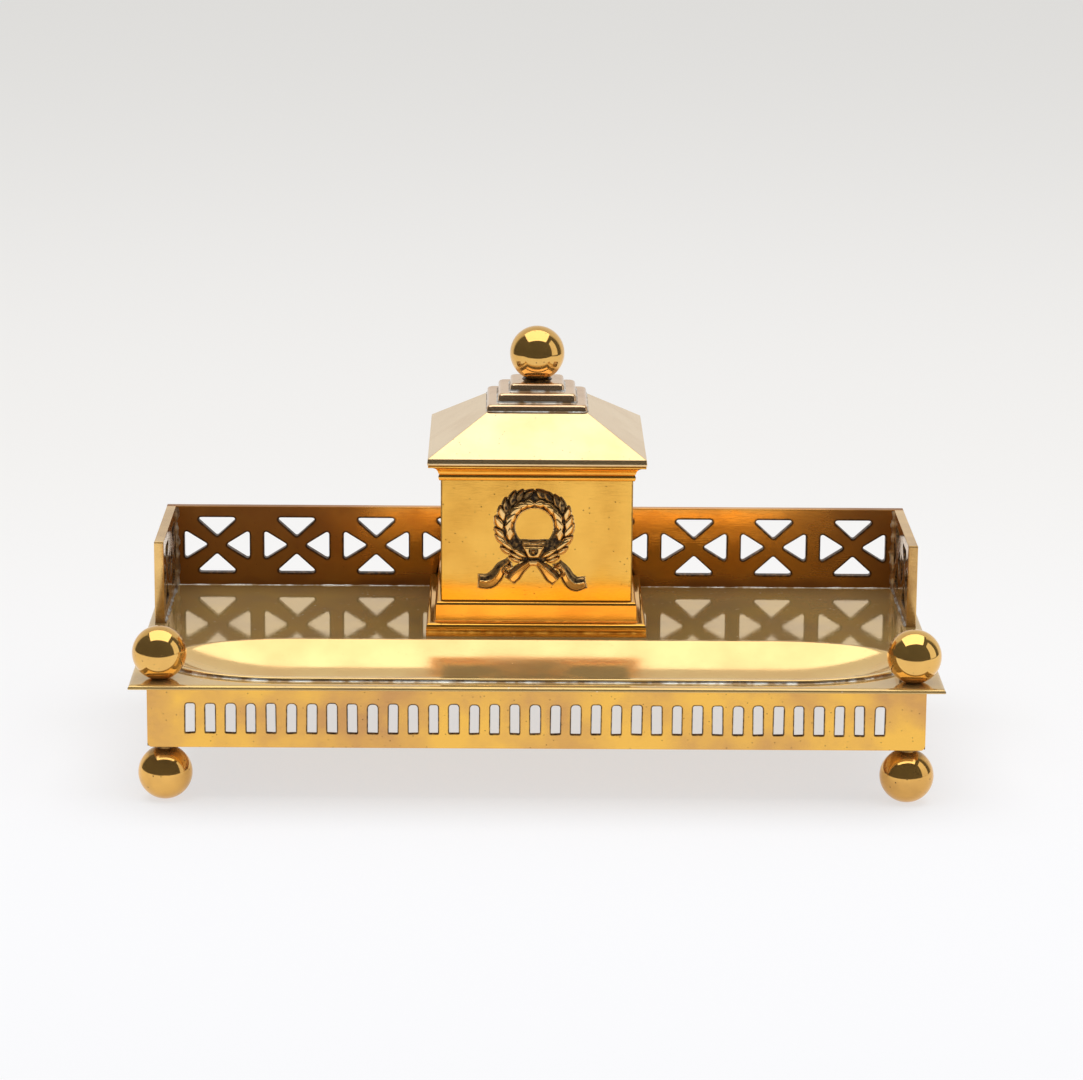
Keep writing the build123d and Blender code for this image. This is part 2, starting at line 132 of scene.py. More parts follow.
def rounded_polygon(corners, radii, per_side, grow=0.0):
    """Points round a convex polygon whose corners are arcs, set outwards by grow.

    Each side has per_side points, from the middle of one corner's arc to the middle of the
    next, so two outlines with the same number of corners pair up point by point.
    """
    corners = np.asarray(corners, float)
    unit = lambda v: v / np.linalg.norm(v, axis=-1, keepdims=True)
    ahead = unit(np.roll(corners, -1, 0) - corners)
    behind = unit(np.roll(corners, 1, 0) - corners)
    half = np.arccos(np.clip((ahead * behind).sum(1), -1, 1)) / 2
    outward = -unit(ahead + behind)
    corners = corners + outward * (grow / np.sin(half))[:, None]
    radii = np.maximum(np.broadcast_to(radii, len(corners)) + grow, 1e-5)
    tangent, turn = radii / np.tan(half), np.pi / 2 - half
    centre = corners - outward * (radii / np.sin(half))[:, None]
    sides = []
    for i in range(len(corners)):
        j = (i + 1) % len(corners)
        first, last = radii[i] * turn[i], radii[j] * turn[j]
        run = np.linalg.norm(corners[j] - corners[i]) - tangent[i] - tangent[j]
        s = (crowded(per_side)[:-1] * (first + run + last))[:, None]
        left = first + run + last - s
        arcs = []
        for k, way, reach in ((i, ahead[i], s), (j, behind[j], left)):
            along, swept = unit(way - (way @ outward[k]) * outward[k]), reach / radii[k]
            arcs.append(centre[k] + radii[k] * (np.cos(swept) * outward[k] + np.sin(swept) * along))
        straight = corners[i] + ahead[i] * (tangent[i] + s - first)
        sides.append(np.where(s < first, arcs[0], np.where(left < last, arcs[1], straight)))
    return np.concatenate(sides)


def pierced_cell(outer, corners, radii, per_side, thickness, edge, blackened):
    """A grid over the plate's front from the cell's outline to a hole, through it and over the back.

    The plate stands in X and Z, front at y = 0. The hole's edges are quarter rounds, and the
    blackened band is how far round the hole it is darkened: patina where the polish didn't reach,
    and painted shade on the rounds and through the hole.
    """
    turn = np.radians([0, 30, 60, 90])
    # Darker towards the hole and black on its rounds and walls: patina, and painted shade in the hole.
    front = [(blackened, 0, 0), (edge + near_edge, 0, near_edge_shade_and_patina)]
    front += [(edge * (1 - sin(a)), edge * (1 - cos(a)), 1) for a in turn]
    both = front + [(g, thickness - y, p) for g, y, p in front[::-1]]
    lift = lambda outline, y: np.stack([outline[:, 0], np.full(len(outline), y), outline[:, 1]], -1)
    rings = [lift(rounded_polygon(corners, radii, per_side, g), y) for g, y, _ in both]
    patina_and_painted_shade = np.array([0, *(p for _, _, p in both), 0])
    return np.stack([lift(outer, 0), *rings, lift(outer, thickness)], 1), True, False, patina_and_painted_shade


def plate_rim(side, inward, thickness, edge):
    """A grid that closes a plate's long edge: quarter rounds from face to face, along one side.

    inward is +1 where the plate lies above the side, -1 where it lies below it.
    """
    turn = np.radians(np.linspace(0, 90, 4))
    front = [(edge * (1 - cos(a)), edge * (1 - sin(a))) for a in turn]
    profile = front + [(thickness - y, z) for y, z in front[::-1]]
    row = lambda y, z: np.stack([side[:, 0], np.full(len(side), y), side[:, 1] - inward * (edge - z)], -1)
    return np.stack([row(y, z) for y, z in profile], 1), False, False


def flat_side(side, thickness):
    """A grid that closes a plate's side with a flat wall."""
    return np.stack([np.insert(side, 1, y, 1) for y in (0, thickness)], 1), False, False


def end_wall(ring, z):
    """Grids of a plate's end: a wall through each (x, y) of the ring at every height, and its caps."""
    wall = np.stack([np.stack(np.broadcast_arrays(x, y, z), -1) for x, y in ring], 1)
    half = wall.shape[1] // 2
    caps = [(np.stack([wall[k, :half], wall[k, half:][::-1]]), False, False) for k in (0, -1)]
    return [(wall, False, False), *caps]


def placed(grids, turn, x, y, z):
    """The grids turned about Z by an angle in degrees and moved."""
    c, s = cos(radians(turn)), sin(radians(turn))
    return [(g @ np.array([[c, s, 0], [-s, c, 0], [0, 0, 1]]) + [x, y, z], *rest) for g, *rest in grids]


def slotted_strip(length, height, thickness, chance):
    """Grids of one apron strip along X, centred, its outer face at y = 0, with mitred ends."""
    per_side = 12
    count = int((length - 2 * slot_end_margin) / slot_pitch) + 1
    half_cells = count * slot_pitch / 2
    foot, grids = apron_edge, []
    for i in range(count):
        x = (i + 0.5) * slot_pitch - half_cells
        low, high = x - slot_pitch / 2, x + slot_pitch / 2
        x += slot_shift
        outer = rounded_polygon([(low, foot), (high, foot), (high, height), (low, height)], 0, per_side)
        wide = slot_width / 2 + chance.uniform(-0.09, 0.09)
        lean, top = chance.uniform(-0.12, 0.12), slot_sill + slot_height + chance.uniform(-0.15, 0.12)
        corner = slot_top_radius * chance.uniform(0.6, 1.2) * chance.uniform(0.85, 1.15, 2)
        sill = slot_sill + chance.uniform(-0.12, 0.12, 2)
        slot = [(x - wide, sill[0]), (x + wide, sill[1]), (x + wide + lean, top), (x - wide + lean, top)]
        radii = [slot_foot_radius, slot_foot_radius, *corner]
        grids.append(pierced_cell(outer, slot, radii, per_side, thickness, apron_edge, slot_shade_and_patina_band))
        ring = np.append(outer, outer[:1], 0)
        grids.append(plate_rim(ring[:per_side + 1], 1, thickness, apron_edge))
        grids.append(flat_side(ring[2 * per_side:3 * per_side + 1], thickness))
    turn = np.radians(np.linspace(90, 0, 4))[:-1]
    z = np.concatenate([foot * (1 - np.sin(turn)), foot + (height - foot) * crowded(per_side)])
    inset = np.concatenate([foot * (1 - np.cos(turn)), np.zeros(per_side + 1)])
    corner_gap = apron_corner - np.sqrt(np.maximum(apron_corner**2 - np.maximum(apron_corner - z, 0)**2, 0))
    for s in (-1, 1):
        outer_end, inner_end = s * (length / 2 - corner_gap), s * (length / 2 - thickness - corner_gap)
        grids += end_wall([(s * half_cells, inset), (outer_end, inset), (inner_end, thickness - inset),
                           (s * half_cells, thickness - inset)], z)
    return grids


def feed(tree, node, inputs):
    """Links or sets a node's inputs, by name or number."""
    for name, value in dict(inputs).items():
        if isinstance(value, bpy.types.NodeSocket):
            tree.links.new(value, node.inputs[name])
        else:
            node.inputs[name].default_value = value
    return node


def add_node(tree, kind, inputs=(), **settings):
    """A new shader node with its settings made and its inputs fed."""
    node = tree.nodes.new(f"ShaderNode{kind}")
    for name, value in settings.items():
        setattr(node, name, value)
    return feed(tree, node, inputs)


def sums(tree, operation, *values, clamp=False):
    """The result of a Math node."""
    return add_node(tree, "Math", enumerate(values), operation=operation, use_clamp=clamp).outputs[0]


def remap(tree, value, low=0.0, high=1.0, to_low=0.0, to_high=1.0, kind="LINEAR"):
    """The result of a Map Range node: low to high becomes to_low to to_high, clamped."""
    ends = {"Value": value, "From Min": low, "From Max": high, "To Min": to_low, "To Max": to_high}
    return add_node(tree, "MapRange", ends, interpolation_type=kind).outputs["Result"]


def mix(tree, factor, a, b, kind="RGBA"):
    """The result of a Mix node, of colours or of numbers."""
    return add_node(tree, "Mix", {"Factor": factor, "A": a, "B": b}, data_type=kind).outputs["Result"]


def object_place(tree):
    """Where a point lies on its piece."""
    return add_node(tree, "TexCoord").outputs["Object"]


def noise(tree, place, scale, detail):
    """A Noise texture's value."""
    return add_node(tree, "TexNoise", {"Vector": place, "Scale": scale, "Detail": detail}).outputs["Fac"]


def dots(tree, place, scale, low, high):
    """Round dots scattered by a Voronoi texture, fading out from low to high of their cells."""
    cells = add_node(tree, "TexVoronoi", {"Vector": place, "Scale": scale}).outputs["Distance"]
    return remap(tree, cells, low, high, 1.0, 0.0)


def stretched(tree, place, scale, turn=0.0):
    """The place scaled and turned about Z."""
    node = add_node(tree, "Mapping", {"Vector": place, "Scale": scale, "Rotation": (0, 0, turn)})
    return node.outputs["Vector"]


def bump(tree, height, strength, distance):
    """The normal from a Bump node."""
    node = add_node(tree, "Bump", {"Height": height, "Strength": strength, "Distance": distance})
    return node.outputs["Normal"]


def new_group(name, inputs, outputs):
    """An empty node group, and the outputs of its Group Input node."""
    tree = bpy.data.node_groups.new(name, "ShaderNodeTree")
    for socket, value in inputs.items():
        tree.interface.new_socket(socket, in_out="INPUT", socket_type="NodeSocketFloat").default_value = value
    for socket in outputs:
        tree.interface.new_socket(socket, in_out="OUTPUT", socket_type="NodeSocketFloat")
    return tree, tree.nodes.new("NodeGroupInput").outputs


def new_material(name):
    """A new material and its tree, with the Principled shader in it."""
    material = bpy.data.materials.new(name)
    material.use_nodes = True
    return material, material.node_tree


def polish_group():
    """Node group: how hand-polished brass scatters light.

    Roughness = Base + Haze x slow noise + Scratches x fine noise drawn out along X. Height is
    the same scratches with slow dents, for a Bump node. Tone is the slow noise as a mask.
    """
    tree, inlet = new_group("hand_polish", {"Base": 0.08, "Haze": 0.08, "Scratches": 0.08, "Dents": 0.3},
                            ("Roughness", "Height", "Tone"))
    place = object_place(tree)
    scratch = remap(tree, noise(tree, stretched(tree, place, (0.1, 1.0, 1.0)), 2400, 3), 0.45, 0.7)
    haze = remap(tree, noise(tree, place, 55, 5), 0.38, 0.68)
    dents = remap(tree, noise(tree, place, 26, 1), 0.2, 0.8)
    rough = sums(tree, "MULTIPLY_ADD", haze, inlet["Haze"], inlet["Base"])
    rough = sums(tree, "MULTIPLY_ADD", scratch, inlet["Scratches"], rough)
    height = sums(tree, "MULTIPLY", scratch, inlet["Scratches"])
    height = sums(tree, "MULTIPLY_ADD", dents, inlet["Dents"], height)
    feed(tree, tree.nodes.new("NodeGroupOutput"), {"Roughness": rough, "Height": height, "Tone": haze})
    return tree


def tarnish_and_painted_light_group():
    """Node group: where brass is darker, as masks, some of them painted light.

    Patina is the piece's own patina and painted shade, made uneven by noise, with Specks, which
    scatters dots of old polish. Painted light rises above Foot and fades out over Reach, and also
    starts at Ends from Middle along X: painted shade where its colour is dark, and painted
    reflection where its colour is bright.
    Dust is a mask of pale specks.
    """
    sockets = {"Foot": -1.0, "Reach": 0.01, "Specks": 0.0, "Ends": 1.0, "Middle": 0.0}
    tree, inlet = new_group("tarnish_and_painted_light", sockets, ("Patina and painted shade", "Painted light", "Dust"))
    place = object_place(tree)
    patina_and_painted_shade = add_node(tree, "Attribute", attribute_name="patina_and_painted_shade").outputs["Fac"]
    worn_and_painted_shade = sums(tree, "MULTIPLY", patina_and_painted_shade, remap(tree, noise(tree, place, 900, 3), 0.3, 0.65, 0.6, 1.15))
    specks = sums(tree, "MULTIPLY", dots(tree, place, 420, 0.05, 0.13), inlet["Specks"])
    worn_and_painted_shade = sums(tree, "MAXIMUM", worn_and_painted_shade, specks, clamp=True)
    axes = add_node(tree, "SeparateXYZ", {"Vector": place}).outputs
    broad = noise(tree, place, 80, 1)
    above = sums(tree, "SUBTRACT", axes["Z"], inlet["Foot"])
    above = sums(tree, "ADD", sums(tree, "DIVIDE", above, inlet["Reach"]), broad)
    painted_light = remap(tree, above, 0.4, 1.35, 0.75, 0.0, "SMOOTHSTEP")
    out = sums(tree, "ABSOLUTE", sums(tree, "SUBTRACT", axes["X"], inlet["Middle"]))
    out = sums(tree, "MULTIPLY_ADD", broad, 0.02, sums(tree, "SUBTRACT", out, inlet["Ends"]))
    painted_light = sums(tree, "MAXIMUM", painted_light, remap(tree, out, 0.0, 0.055, 0.0, 0.7, "SMOOTHSTEP"))
    lint = dots(tree, stretched(tree, place, (0.45, 1.0, 1.0), 0.3), 700, 0.06, 0.14)
    dust = sums(tree, "MULTIPLY", lint, remap(tree, noise(tree, place, 160, 4), 0.5, 0.68))
    feed(tree, tree.nodes.new("NodeGroupOutput"), {"Patina and painted shade": worn_and_painted_shade, "Painted light": painted_light, "Dust": dust})
    return tree


hand_polish, tarnish_and_painted_light = polish_group(), tarnish_and_painted_light_group()
dust_colour, dark_roughness, dark_metallic = (0.8, 0.78, 0.72, 1), 0.35, 0.55


def brass(name, bright, dull, base=0.05, haze=0.05, scratches=0.05, dents=0.3, relief=0.05, film=0.04,
          foot=-1.0, reach=0.01, specks=0.25, ends=1.0, middle=0.0, dust=0.0, crust=1.0,
          painted_light=(0.05, 0.022, 0.008), patina_and_painted_shade=(0.05, 0.022, 0.008)):
    """A brass material: two tones of the metal mottled together, with tarnish in its hollows and painted
    light.

    film is how much of a thin matt layer lies over the metal, which lowers Metallic. foot and
    reach are the height of the joint that the painted light rises from, and how far it rises, and
    ends is how far from the middle more of it starts, all in metres. dust is how much of it lies on
    top, and crust how matt the painted light is. The last two are colours: the painted light's,
    dark for painted shade and bright for painted reflection, and that of patina and painted shade.
    """
    material, tree = new_material(name)
    polish = add_node(tree, "Group", {"Base": base, "Haze": haze, "Scratches": scratches, "Dents": dents},
                      node_tree=hand_polish).outputs
    dark = add_node(tree, "Group", {"Foot": foot, "Reach": reach, "Specks": specks, "Ends": ends,
                                    "Middle": middle}, node_tree=tarnish_and_painted_light).outputs
    colour = mix(tree, polish["Tone"], (*bright, 1), (*dull, 1))
    colour = mix(tree, dark["Painted light"], colour, (*painted_light, 1))
    colour = mix(tree, dark["Patina and painted shade"], colour, (*patina_and_painted_shade, 1))
    matt = sums(tree, "MAXIMUM", dark["Patina and painted shade"], sums(tree, "MULTIPLY", dark["Painted light"], crust))
    rough = sums(tree, "MULTIPLY_ADD", matt, dark_roughness, polish["Roughness"])
    metal = remap(tree, matt, to_low=1 - film, to_high=dark_metallic)
    if dust:
        lint = sums(tree, "MULTIPLY", dark["Dust"], dust)
        colour = mix(tree, lint, colour, dust_colour)
        metal = remap(tree, lint, to_low=metal, to_high=0.0)
    feed(tree, tree.nodes["Principled BSDF"], {"Base Color": colour, "Metallic": metal, "Roughness": rough,
                                               "Normal": bump(tree, polish["Height"], relief, 0.0004)})
    return material


def carried(piece, material, body, slot, *nodes):
    """Gives a piece its material and body, and hides the CAD nodes that it stands for. slot is not used."""
    piece.data.materials.append(material)
    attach(piece, body)
    if nodes:
        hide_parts(*nodes)


apron_brass = brass("apron_brass", (0.93, 0.53, 0.10), (0.64, 0.34, 0.12), haze=0.12, scratches=0.08,
                    dents=0.9, relief=0.12, film=0.06, specks=0.45)
chance = np.random.default_rng(7)
for node, turn in (("front_apron", 0), ("rear_apron", 180), ("left_apron", -90), ("right_apron", 90)):
    low, high = box_mm(node)
    size = high - low
    length, thickness = max(size[:2]), min(size[:2])
    outer_face = {0: (0, low[1]), 180: (0, high[1]), -90: (low[0], 0), 90: (high[0], 0)}[turn]
    strip = slotted_strip(length, size[2], thickness, chance)
    apron = make_piece(f"pierced_{node}", placed(strip, turn, *outer_face, low[2]))
    carried(apron, apron_brass, "stand", "tray_brass", node)

# Gussets soldered into the apron's lower corners, flat triangles of the same sheet that the feet
# are brazed to. They keep the shape of their CAD node.
raw_brass = brass("raw_brass", (0.72, 0.40, 0.10), (0.45, 0.24, 0.07), base=0.3, haze=0.2, film=0.15)


def dressed(node, material):
    """Gives a CAD node that keeps its shape a material of its own."""
    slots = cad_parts[node].data.materials
    slots.clear()
    slots.append(material)


dressed("corner_gussets", raw_brass)


# ------------------------ the ball feet
# Four solid balls turned in the lathe, each with a short neck that is brazed to its gusset, and
# polished bright. Each is darker towards its neck: patina, and painted shade under the gusset.

ball_radius = 8.4
foot_inset = 10.35
foot_neck = 2.6


def turned(profile, x, y, around=72):
    """A grid round the upright axis through (x, y): the (radius, height) profile turned once."""
    profile = np.asarray(profile, float)
    angle = 2 * np.pi * np.arange(around) / around
    return np.stack([
        x + np.cos(angle)[:, None] * profile[:, 0],
        y + np.sin(angle)[:, None] * profile[:, 0],
        np.broadcast_to(profile[:, 1], (around, len(profile))),
    ], -1)


def ball_profile(radius, low_radius, high_radius, foot_z, steps=44):
    """The ball's outline from its low flat to its high one: a circle by angle, poles on the axis."""
    start, end = -np.arccos(low_radius / radius), np.arccos(high_radius / radius)
    angle = np.linspace(start, end, steps)
    return np.stack([radius * np.cos(angle), foot_z + radius * (np.sin(angle) - np.sin(start))], -1)


ball_brass = brass("ball_brass", (0.88, 0.53, 0.15), (0.76, 0.43, 0.12), base=0.045, scratches=0.03,
                   dents=0.15, specks=0.6, film=0.11)
foot_brass = brass("foot_brass", (0.88, 0.50, 0.13), (0.58, 0.31, 0.09), base=0.045, haze=0.09,
                   specks=0.9, film=0.12)
low, high = box_mm("ball_feet")
plate_low, plate_high = box_mm("tray_plate")
grids = []
for sx in (-1, 1):
    for sy in (-1, 1):
        ball = ball_profile(ball_radius, 1.5, foot_neck, low[2])
        outline = np.concatenate([[(0, low[2])], ball, [(foot_neck, high[2]), (0, high[2])]])
        # The top of each ball is painted darker: patina by the neck, and painted shade under the gusset.
        blackened = 0.85 * np.clip((outline[:, 1] - (high[2] - 3.6)) / 2.4, 0, 1)
        place = (sx * (plate_high[0] - foot_inset), sy * (plate_high[1] - foot_inset))
        grids.append((turned(outline, *place), True, False, blackened))
feet = make_piece("turned_ball_feet", grids)
carried(feet, foot_brass, "stand", "ball_brass", "ball_feet")


# ------------------------ the tray plate
# One flat sheet of brass with edges filed soft, polished like a mirror on top, where years of
# handling have left a thin dull film. The pan hangs in its long oval opening.

pan_flange = 2.0
pan_flange_thickness = 1.1
pan_depth = 8.7
pan_reach = 40.5
edge_run, edge_drop, under_edge = 1.5, 0.95, 0.35
opening_inset = 1.2
oval_side = 48


def oval(half_width, reach):
    """Points round a long oval: half an ellipse, a straight, half an ellipse and a straight."""
    t = np.arange(oval_side) / oval_side
    turn = np.pi * (t - 0.5)
    end = np.stack([pan_straight + reach * np.cos(turn), half_width * np.sin(turn)], -1)
    run = np.stack([pan_straight * (1 - 2 * t), np.full(oval_side, half_width)], -1)
    return np.concatenate([end, run, -end, -run])


def level(outline, z):
    """An outline in X and Y lifted to a height."""
    return np.concatenate([outline, np.full((len(outline), 1), z)], 1)


pan_low, pan_high = box_mm("pen_pan")
pan_y = (pan_low[1] + pan_high[1]) / 2
pan_half_width = (pan_high[1] - pan_low[1]) / 2
pan_straight = pan_high[0] - pan_reach
hole = oval(pan_half_width - opening_inset, pan_reach - opening_inset) + [0, pan_y]
across = np.linspace(-1, 1, oval_side, endpoint=False)


def plate_outline(inset):
    """The plate's rectangle, set in by inset, with as many points as the pan's opening.

    Half of each short side's points lie on each side of the pan's middle line, so that no quad
    between the two outlines folds over.
    """
    x, y, one = plate_high[0] - inset, plate_high[1] - inset, np.ones(oval_side)
    short = lambda s: pan_y + s * np.where(s < 0, y + pan_y, y - pan_y)
    sides = [(x * one, short(across)), (-x * across, y * one),
             (-x * one, short(-across)), (x * across, -y * one)]
    return np.concatenate([np.stack(side, -1) for side in sides])


turn = np.radians(np.linspace(90, 0, 8))
section = [(edge_run + 0.3, plate_high[2])]
section += [(edge_run * (1 - cos(a)), plate_high[2] - edge_drop * (1 - sin(a))) for a in turn]
section += [(under_edge * (1 - cos(a)), plate_low[2] + under_edge * (1 - sin(a))) for a in turn[::-2]]
rings = [level(hole, plate_high[2])] + [level(plate_outline(inset), z) for inset, z in section]
rings.append(level(hole, plate_low[2]))
plate = make_piece("mirror_plate", [(np.stack(rings, 1), True, True)])
plate_brass = brass("plate_brass", (0.73, 0.49, 0.17), (0.62, 0.42, 0.18), base=0.02, haze=0.03,
                    scratches=0.06, dents=0.12, film=0.37, specks=0.4, dust=0.9)
carried(plate, plate_brass, "stand", "tray_brass", "tray_plate")


# ------------------------ the pen pan
# A long dish pressed from thinner sheet, with a rolled lip that lies on the plate all round and is
# soldered there. Pens rest in it, so its floor has fine marks along its length.

def pan_rings(half_width, reach, depth, lip_z, steps):
    """Rings down the dish: the width follows a circle's arc in section, and the reach in proportion."""
    radius = (half_width**2 + depth**2) / (2 * depth)
    angle = np.linspace(np.arcsin(half_width / radius), 0, steps)
    width = radius * np.sin(angle)
    z = lip_z - depth + radius * (1 - np.cos(angle))
    return [level(oval(w, reach * w / half_width), h) for w, h in zip(width, z)]


lip_z = pan_high[2]
inner_half, inner_reach = pan_half_width - pan_flange, pan_reach - pan_flange
lip_round = pan_flange_thickness / 2
under_z = lip_z - pan_flange_thickness
rings = pan_rings(inner_half + 0.6, inner_reach + 1.0, pan_depth + 0.3, under_z, 14)[::-1]
for a in np.radians(np.linspace(-90, 90, 9)):
    inset, drop = lip_round * (1 - cos(a)), lip_round * (1 - sin(a))
    rings.append(level(oval(pan_half_width - inset, pan_reach - inset), lip_z - drop))
rings.append(level(oval(inner_half + 0.5, inner_reach + 0.5), lip_z))
rings += pan_rings(inner_half, inner_reach, pan_depth, lip_z, 30)
pan = make_piece("dished_pen_pan", [(np.stack(rings, 1) + [0, pan_y, 0], True, False)])
pan_brass = brass("pan_brass", (0.88, 0.61, 0.25), (0.80, 0.51, 0.20), base=0.11, haze=0.07, scratches=0.07,
                  dents=0.3, film=0.30, specks=0.2)
carried(pan, pan_brass, "stand", "pan_brass", "pen_pan")

# The soft solder that was run round under the lip shows as a thin uneven silvery line.
chance = np.random.default_rng(11)
around, mean_size = 4 * oval_side, 0.42
wave = 2 * np.pi * np.arange(around)[:, None] / around * np.array([3, 7, 13, 29, 47])
size = mean_size + 0.13 * (np.sin(wave + chance.uniform(0, 6, 5)) * [0.5, 0.6, 0.5, 0.6, 0.5]).sum(1) / 1.2
rings, ring = [], oval(pan_half_width, pan_reach)
for out, up in ((-0.3, -0.02), (1.0, -0.02), (0.55, 0.12), (0.25, 0.3), (0.0, 0.62), (-0.3, 0.62)):
    ahead = np.roll(ring, -1, 0) - np.roll(ring, 1, 0)
    outward = np.stack([ahead[:, 1], -ahead[:, 0]], -1) / np.linalg.norm(ahead, axis=1, keepdims=True)
    reach = np.where(out > 0, out * size * 1.1, out)
    z = plate_high[2] + up * size / mean_size
    rings.append(np.concatenate([ring + outward * reach[:, None], z[:, None]], 1))
seam = make_piece("pan_solder", [(np.stack(rings, 1) + [0, pan_y, 0], True, True)])


def solder_material(name, bright, dull):
    """Old soft solder: grey metal, crusted and broken up by noise, brown where brass shows through."""
    material, tree = new_material(name)
    place = object_place(tree)
    blotch, crust = noise(tree, place, 260, 4), noise(tree, place, 1500, 3)
    feed(tree, tree.nodes["Principled BSDF"], {
        "Base Color": mix(tree, remap(tree, blotch, 0.42, 0.6), (*dull, 1), (*bright, 1)),
        "Metallic": remap(tree, crust, to_low=0.5, to_high=0.95),
        "Roughness": remap(tree, blotch, to_low=0.25, to_high=0.5),
        "Normal": bump(tree, crust, 0.5, 0.0003),
    })
    return material


grey_solder = solder_material("grey_solder", (0.74, 0.74, 0.70), (0.30, 0.20, 0.11))
carried(seam, grey_solder, "stand", "tray_brass")


# ------------------------ the front corner balls
# Two more turned balls, soldered straight on to the plate's front corners.

corner_inset = 9.1
low, high = box_mm("corner_balls")
grids = []
for sx in (-1, 1):
    ball = ball_profile(ball_radius, 2.2, 1e-4, low[2])
    ball[:, 1] = low[2] + (ball[:, 1] - low[2]) * (high[2] - low[2]) / (ball[-1, 1] - low[2])
    outline = np.concatenate([[(0, low[2])], ball])
    x, y = sx * (plate_high[0] - corner_inset), plate_low[1] + corner_inset
    grids.append((turned(outline, x, y), True, False))
corner = make_piece("turned_corner_balls", grids)
carried(corner, ball_brass, "stand", "ball_brass", "corner_balls")


# ------------------------ the gallery
# Three cast plates, pierced with saltires and filed smooth, soldered to the plate and to each
# other at the back corners. The sides butt against the back plate's inner face.

gallery_edge = 0.3
panel_height = 18.9
panel_sill = 4.3
opening_radius = 0.75
saltire_corner = (3.65, 4.35)
saltire_centre = (2.75, 2.85)
gallery_shade_and_patina_band = 0.8


def saltire_plate(length, height, thickness, count, end_stile, stile):
    """Grids of a plate along X, front face at y = 0, with each panel in four sectors round its middle.

    Each sector has a rounded triangle cut through it, and what is left is the saltire.
    """
    per_side = 14
    width = (length - 2 * end_stile - (count - 1) * stile) / count
    pitch, middle = width + stile, panel_sill + panel_height / 2
    base_x, base_z = width / 2 - saltire_corner[0], panel_height / 2 - saltire_corner[1]
    top, grids = height - gallery_edge, []
    head = panel_sill + panel_height
    for i in range(count):
        x = (i - (count - 1) / 2) * pitch
        left, right = x - width / 2, x + width / 2
        corners = [(x - pitch / 2, 0), (x + pitch / 2, 0), (x + pitch / 2, top), (x - pitch / 2, top)]
        holes = [
            [(x, middle - saltire_centre[1]), (x - base_x, panel_sill), (x + base_x, panel_sill)],
            [(x + saltire_centre[0], middle), (right, middle - base_z), (right, middle + base_z)],
            [(x, middle + saltire_centre[1]), (x + base_x, head), (x - base_x, head)],
            [(x - saltire_centre[0], middle), (left, middle + base_z), (left, middle - base_z)],
        ]
        for k, hole in enumerate(holes):
            outer = rounded_polygon([(x, middle), corners[k], corners[(k + 1) % 4]], 0, per_side)
            grids.append(pierced_cell(outer, hole, opening_radius, per_side, thickness, gallery_edge,
                                      gallery_shade_and_patina_band))
            side = outer[per_side:2 * per_side + 1]
            if k == 0:
                grids.append(flat_side(side, thickness))
            if k == 2:
                grids.append(plate_rim(side, -1, thickness, gallery_edge))
    turn = np.radians(np.linspace(0, 90, 4))[1:]
    z = np.concatenate([top * crowded(per_side), top + gallery_edge * np.sin(turn)])
    inset = np.concatenate([np.zeros(per_side + 1), gallery_edge * (1 - np.cos(turn))])
    radius = gallery_edge - inset
    for s in (-1, 1):
        start, end = s * count * pitch / 2, s * length / 2
        ring = [(start, inset)]
        ring += [(end - s * (gallery_edge - radius * cos(a)), gallery_edge + radius * sin(a))
                 for a in np.radians(np.linspace(-90, 0, 4))]
        ring += [(x, thickness - y) for x, y in ring[::-1]]
        grids += end_wall(ring, z)
    return grids


# Both gallery materials are painted darker towards the plate, and the back one towards its ends as well:
# painted shade.
back_brass = brass("back_gallery_brass", (0.88, 0.40, 0.065), (0.72, 0.28, 0.04), base=0.07, haze=0.10,
                   scratches=0.06, dents=0.8, relief=0.12, film=0.05, foot=plate_high[2] * MM, reach=0.009,
                   ends=0.056, middle=0.016, painted_light=(0.11, 0.035, 0.012))
side_brass = brass("side_gallery_brass", (0.86, 0.55, 0.20), (0.60, 0.36, 0.13), base=0.07, haze=0.10,
                   scratches=0.06, dents=0.7, relief=0.12, film=0.08, foot=plate_high[2] * MM, reach=0.006,
                   dust=0.5, painted_light=(0.10, 0.035, 0.012))
for node, turn, count, end_stile, stile in (
        ("back_gallery", 0, 9, 5.8, 4.85),
        ("left_gallery", 90, 2, 2.8, 4.5),
        ("right_gallery", -90, 2, 2.8, 4.5)):
    low, high = box_mm(node)
    size = high - low
    length, thickness = max(size[:2]), min(size[:2])
    middle = (low + high) / 2
    inner_face = {0: (0, low[1]), 90: (high[0], middle[1]), -90: (low[0], middle[1])}[turn]
    saltires = saltire_plate(length, size[2], thickness, count, end_stile, stile)
    gallery = make_piece(f"saltire_{node}", placed(saltires, turn, *inner_face, low[2]))
    carried(gallery, side_brass if turn else back_brass, "stand", "gallery_brass", node)


# Where the gallery meets the plate, and up its back corners, the solder was left as it ran.

def solder_bead(path, side_a, side_b, size):
    """A grid along a corner: from the path, size along side_a, bulging, and size along side_b."""
    sunk_in, bulge = 0.15, 0.42
    side_a, side_b, size = np.array(side_a), np.array(side_b), size[:, None]
    rows = [path - sunk_in * (side_a + side_b), path + size * side_a - sunk_in * side_b, path + size * side_a,
            path + bulge * size * (side_a + side_b), path + size * side_b,
            path + size * side_b - sunk_in * side_a]
    close = lambda row: np.broadcast_to(row.mean(0), row.shape)
    grid = np.stack(rows, 1)
    return np.concatenate([close(grid[0])[None], grid, close(grid[-1])[None]]), False, True


def uneven(count, mean, spread, chance):
    """Sizes that wander about the mean: three waves and a little noise."""
    t = np.linspace(0, 1, count)[:, None] * count * np.array([0.11, 0.27, 0.6]) + chance.uniform(0, 6, 3)
    return np.maximum(mean + spread * (np.sin(t).sum(1) / 2 + chance.uniform(-0.4, 0.4, count)), 0.12)


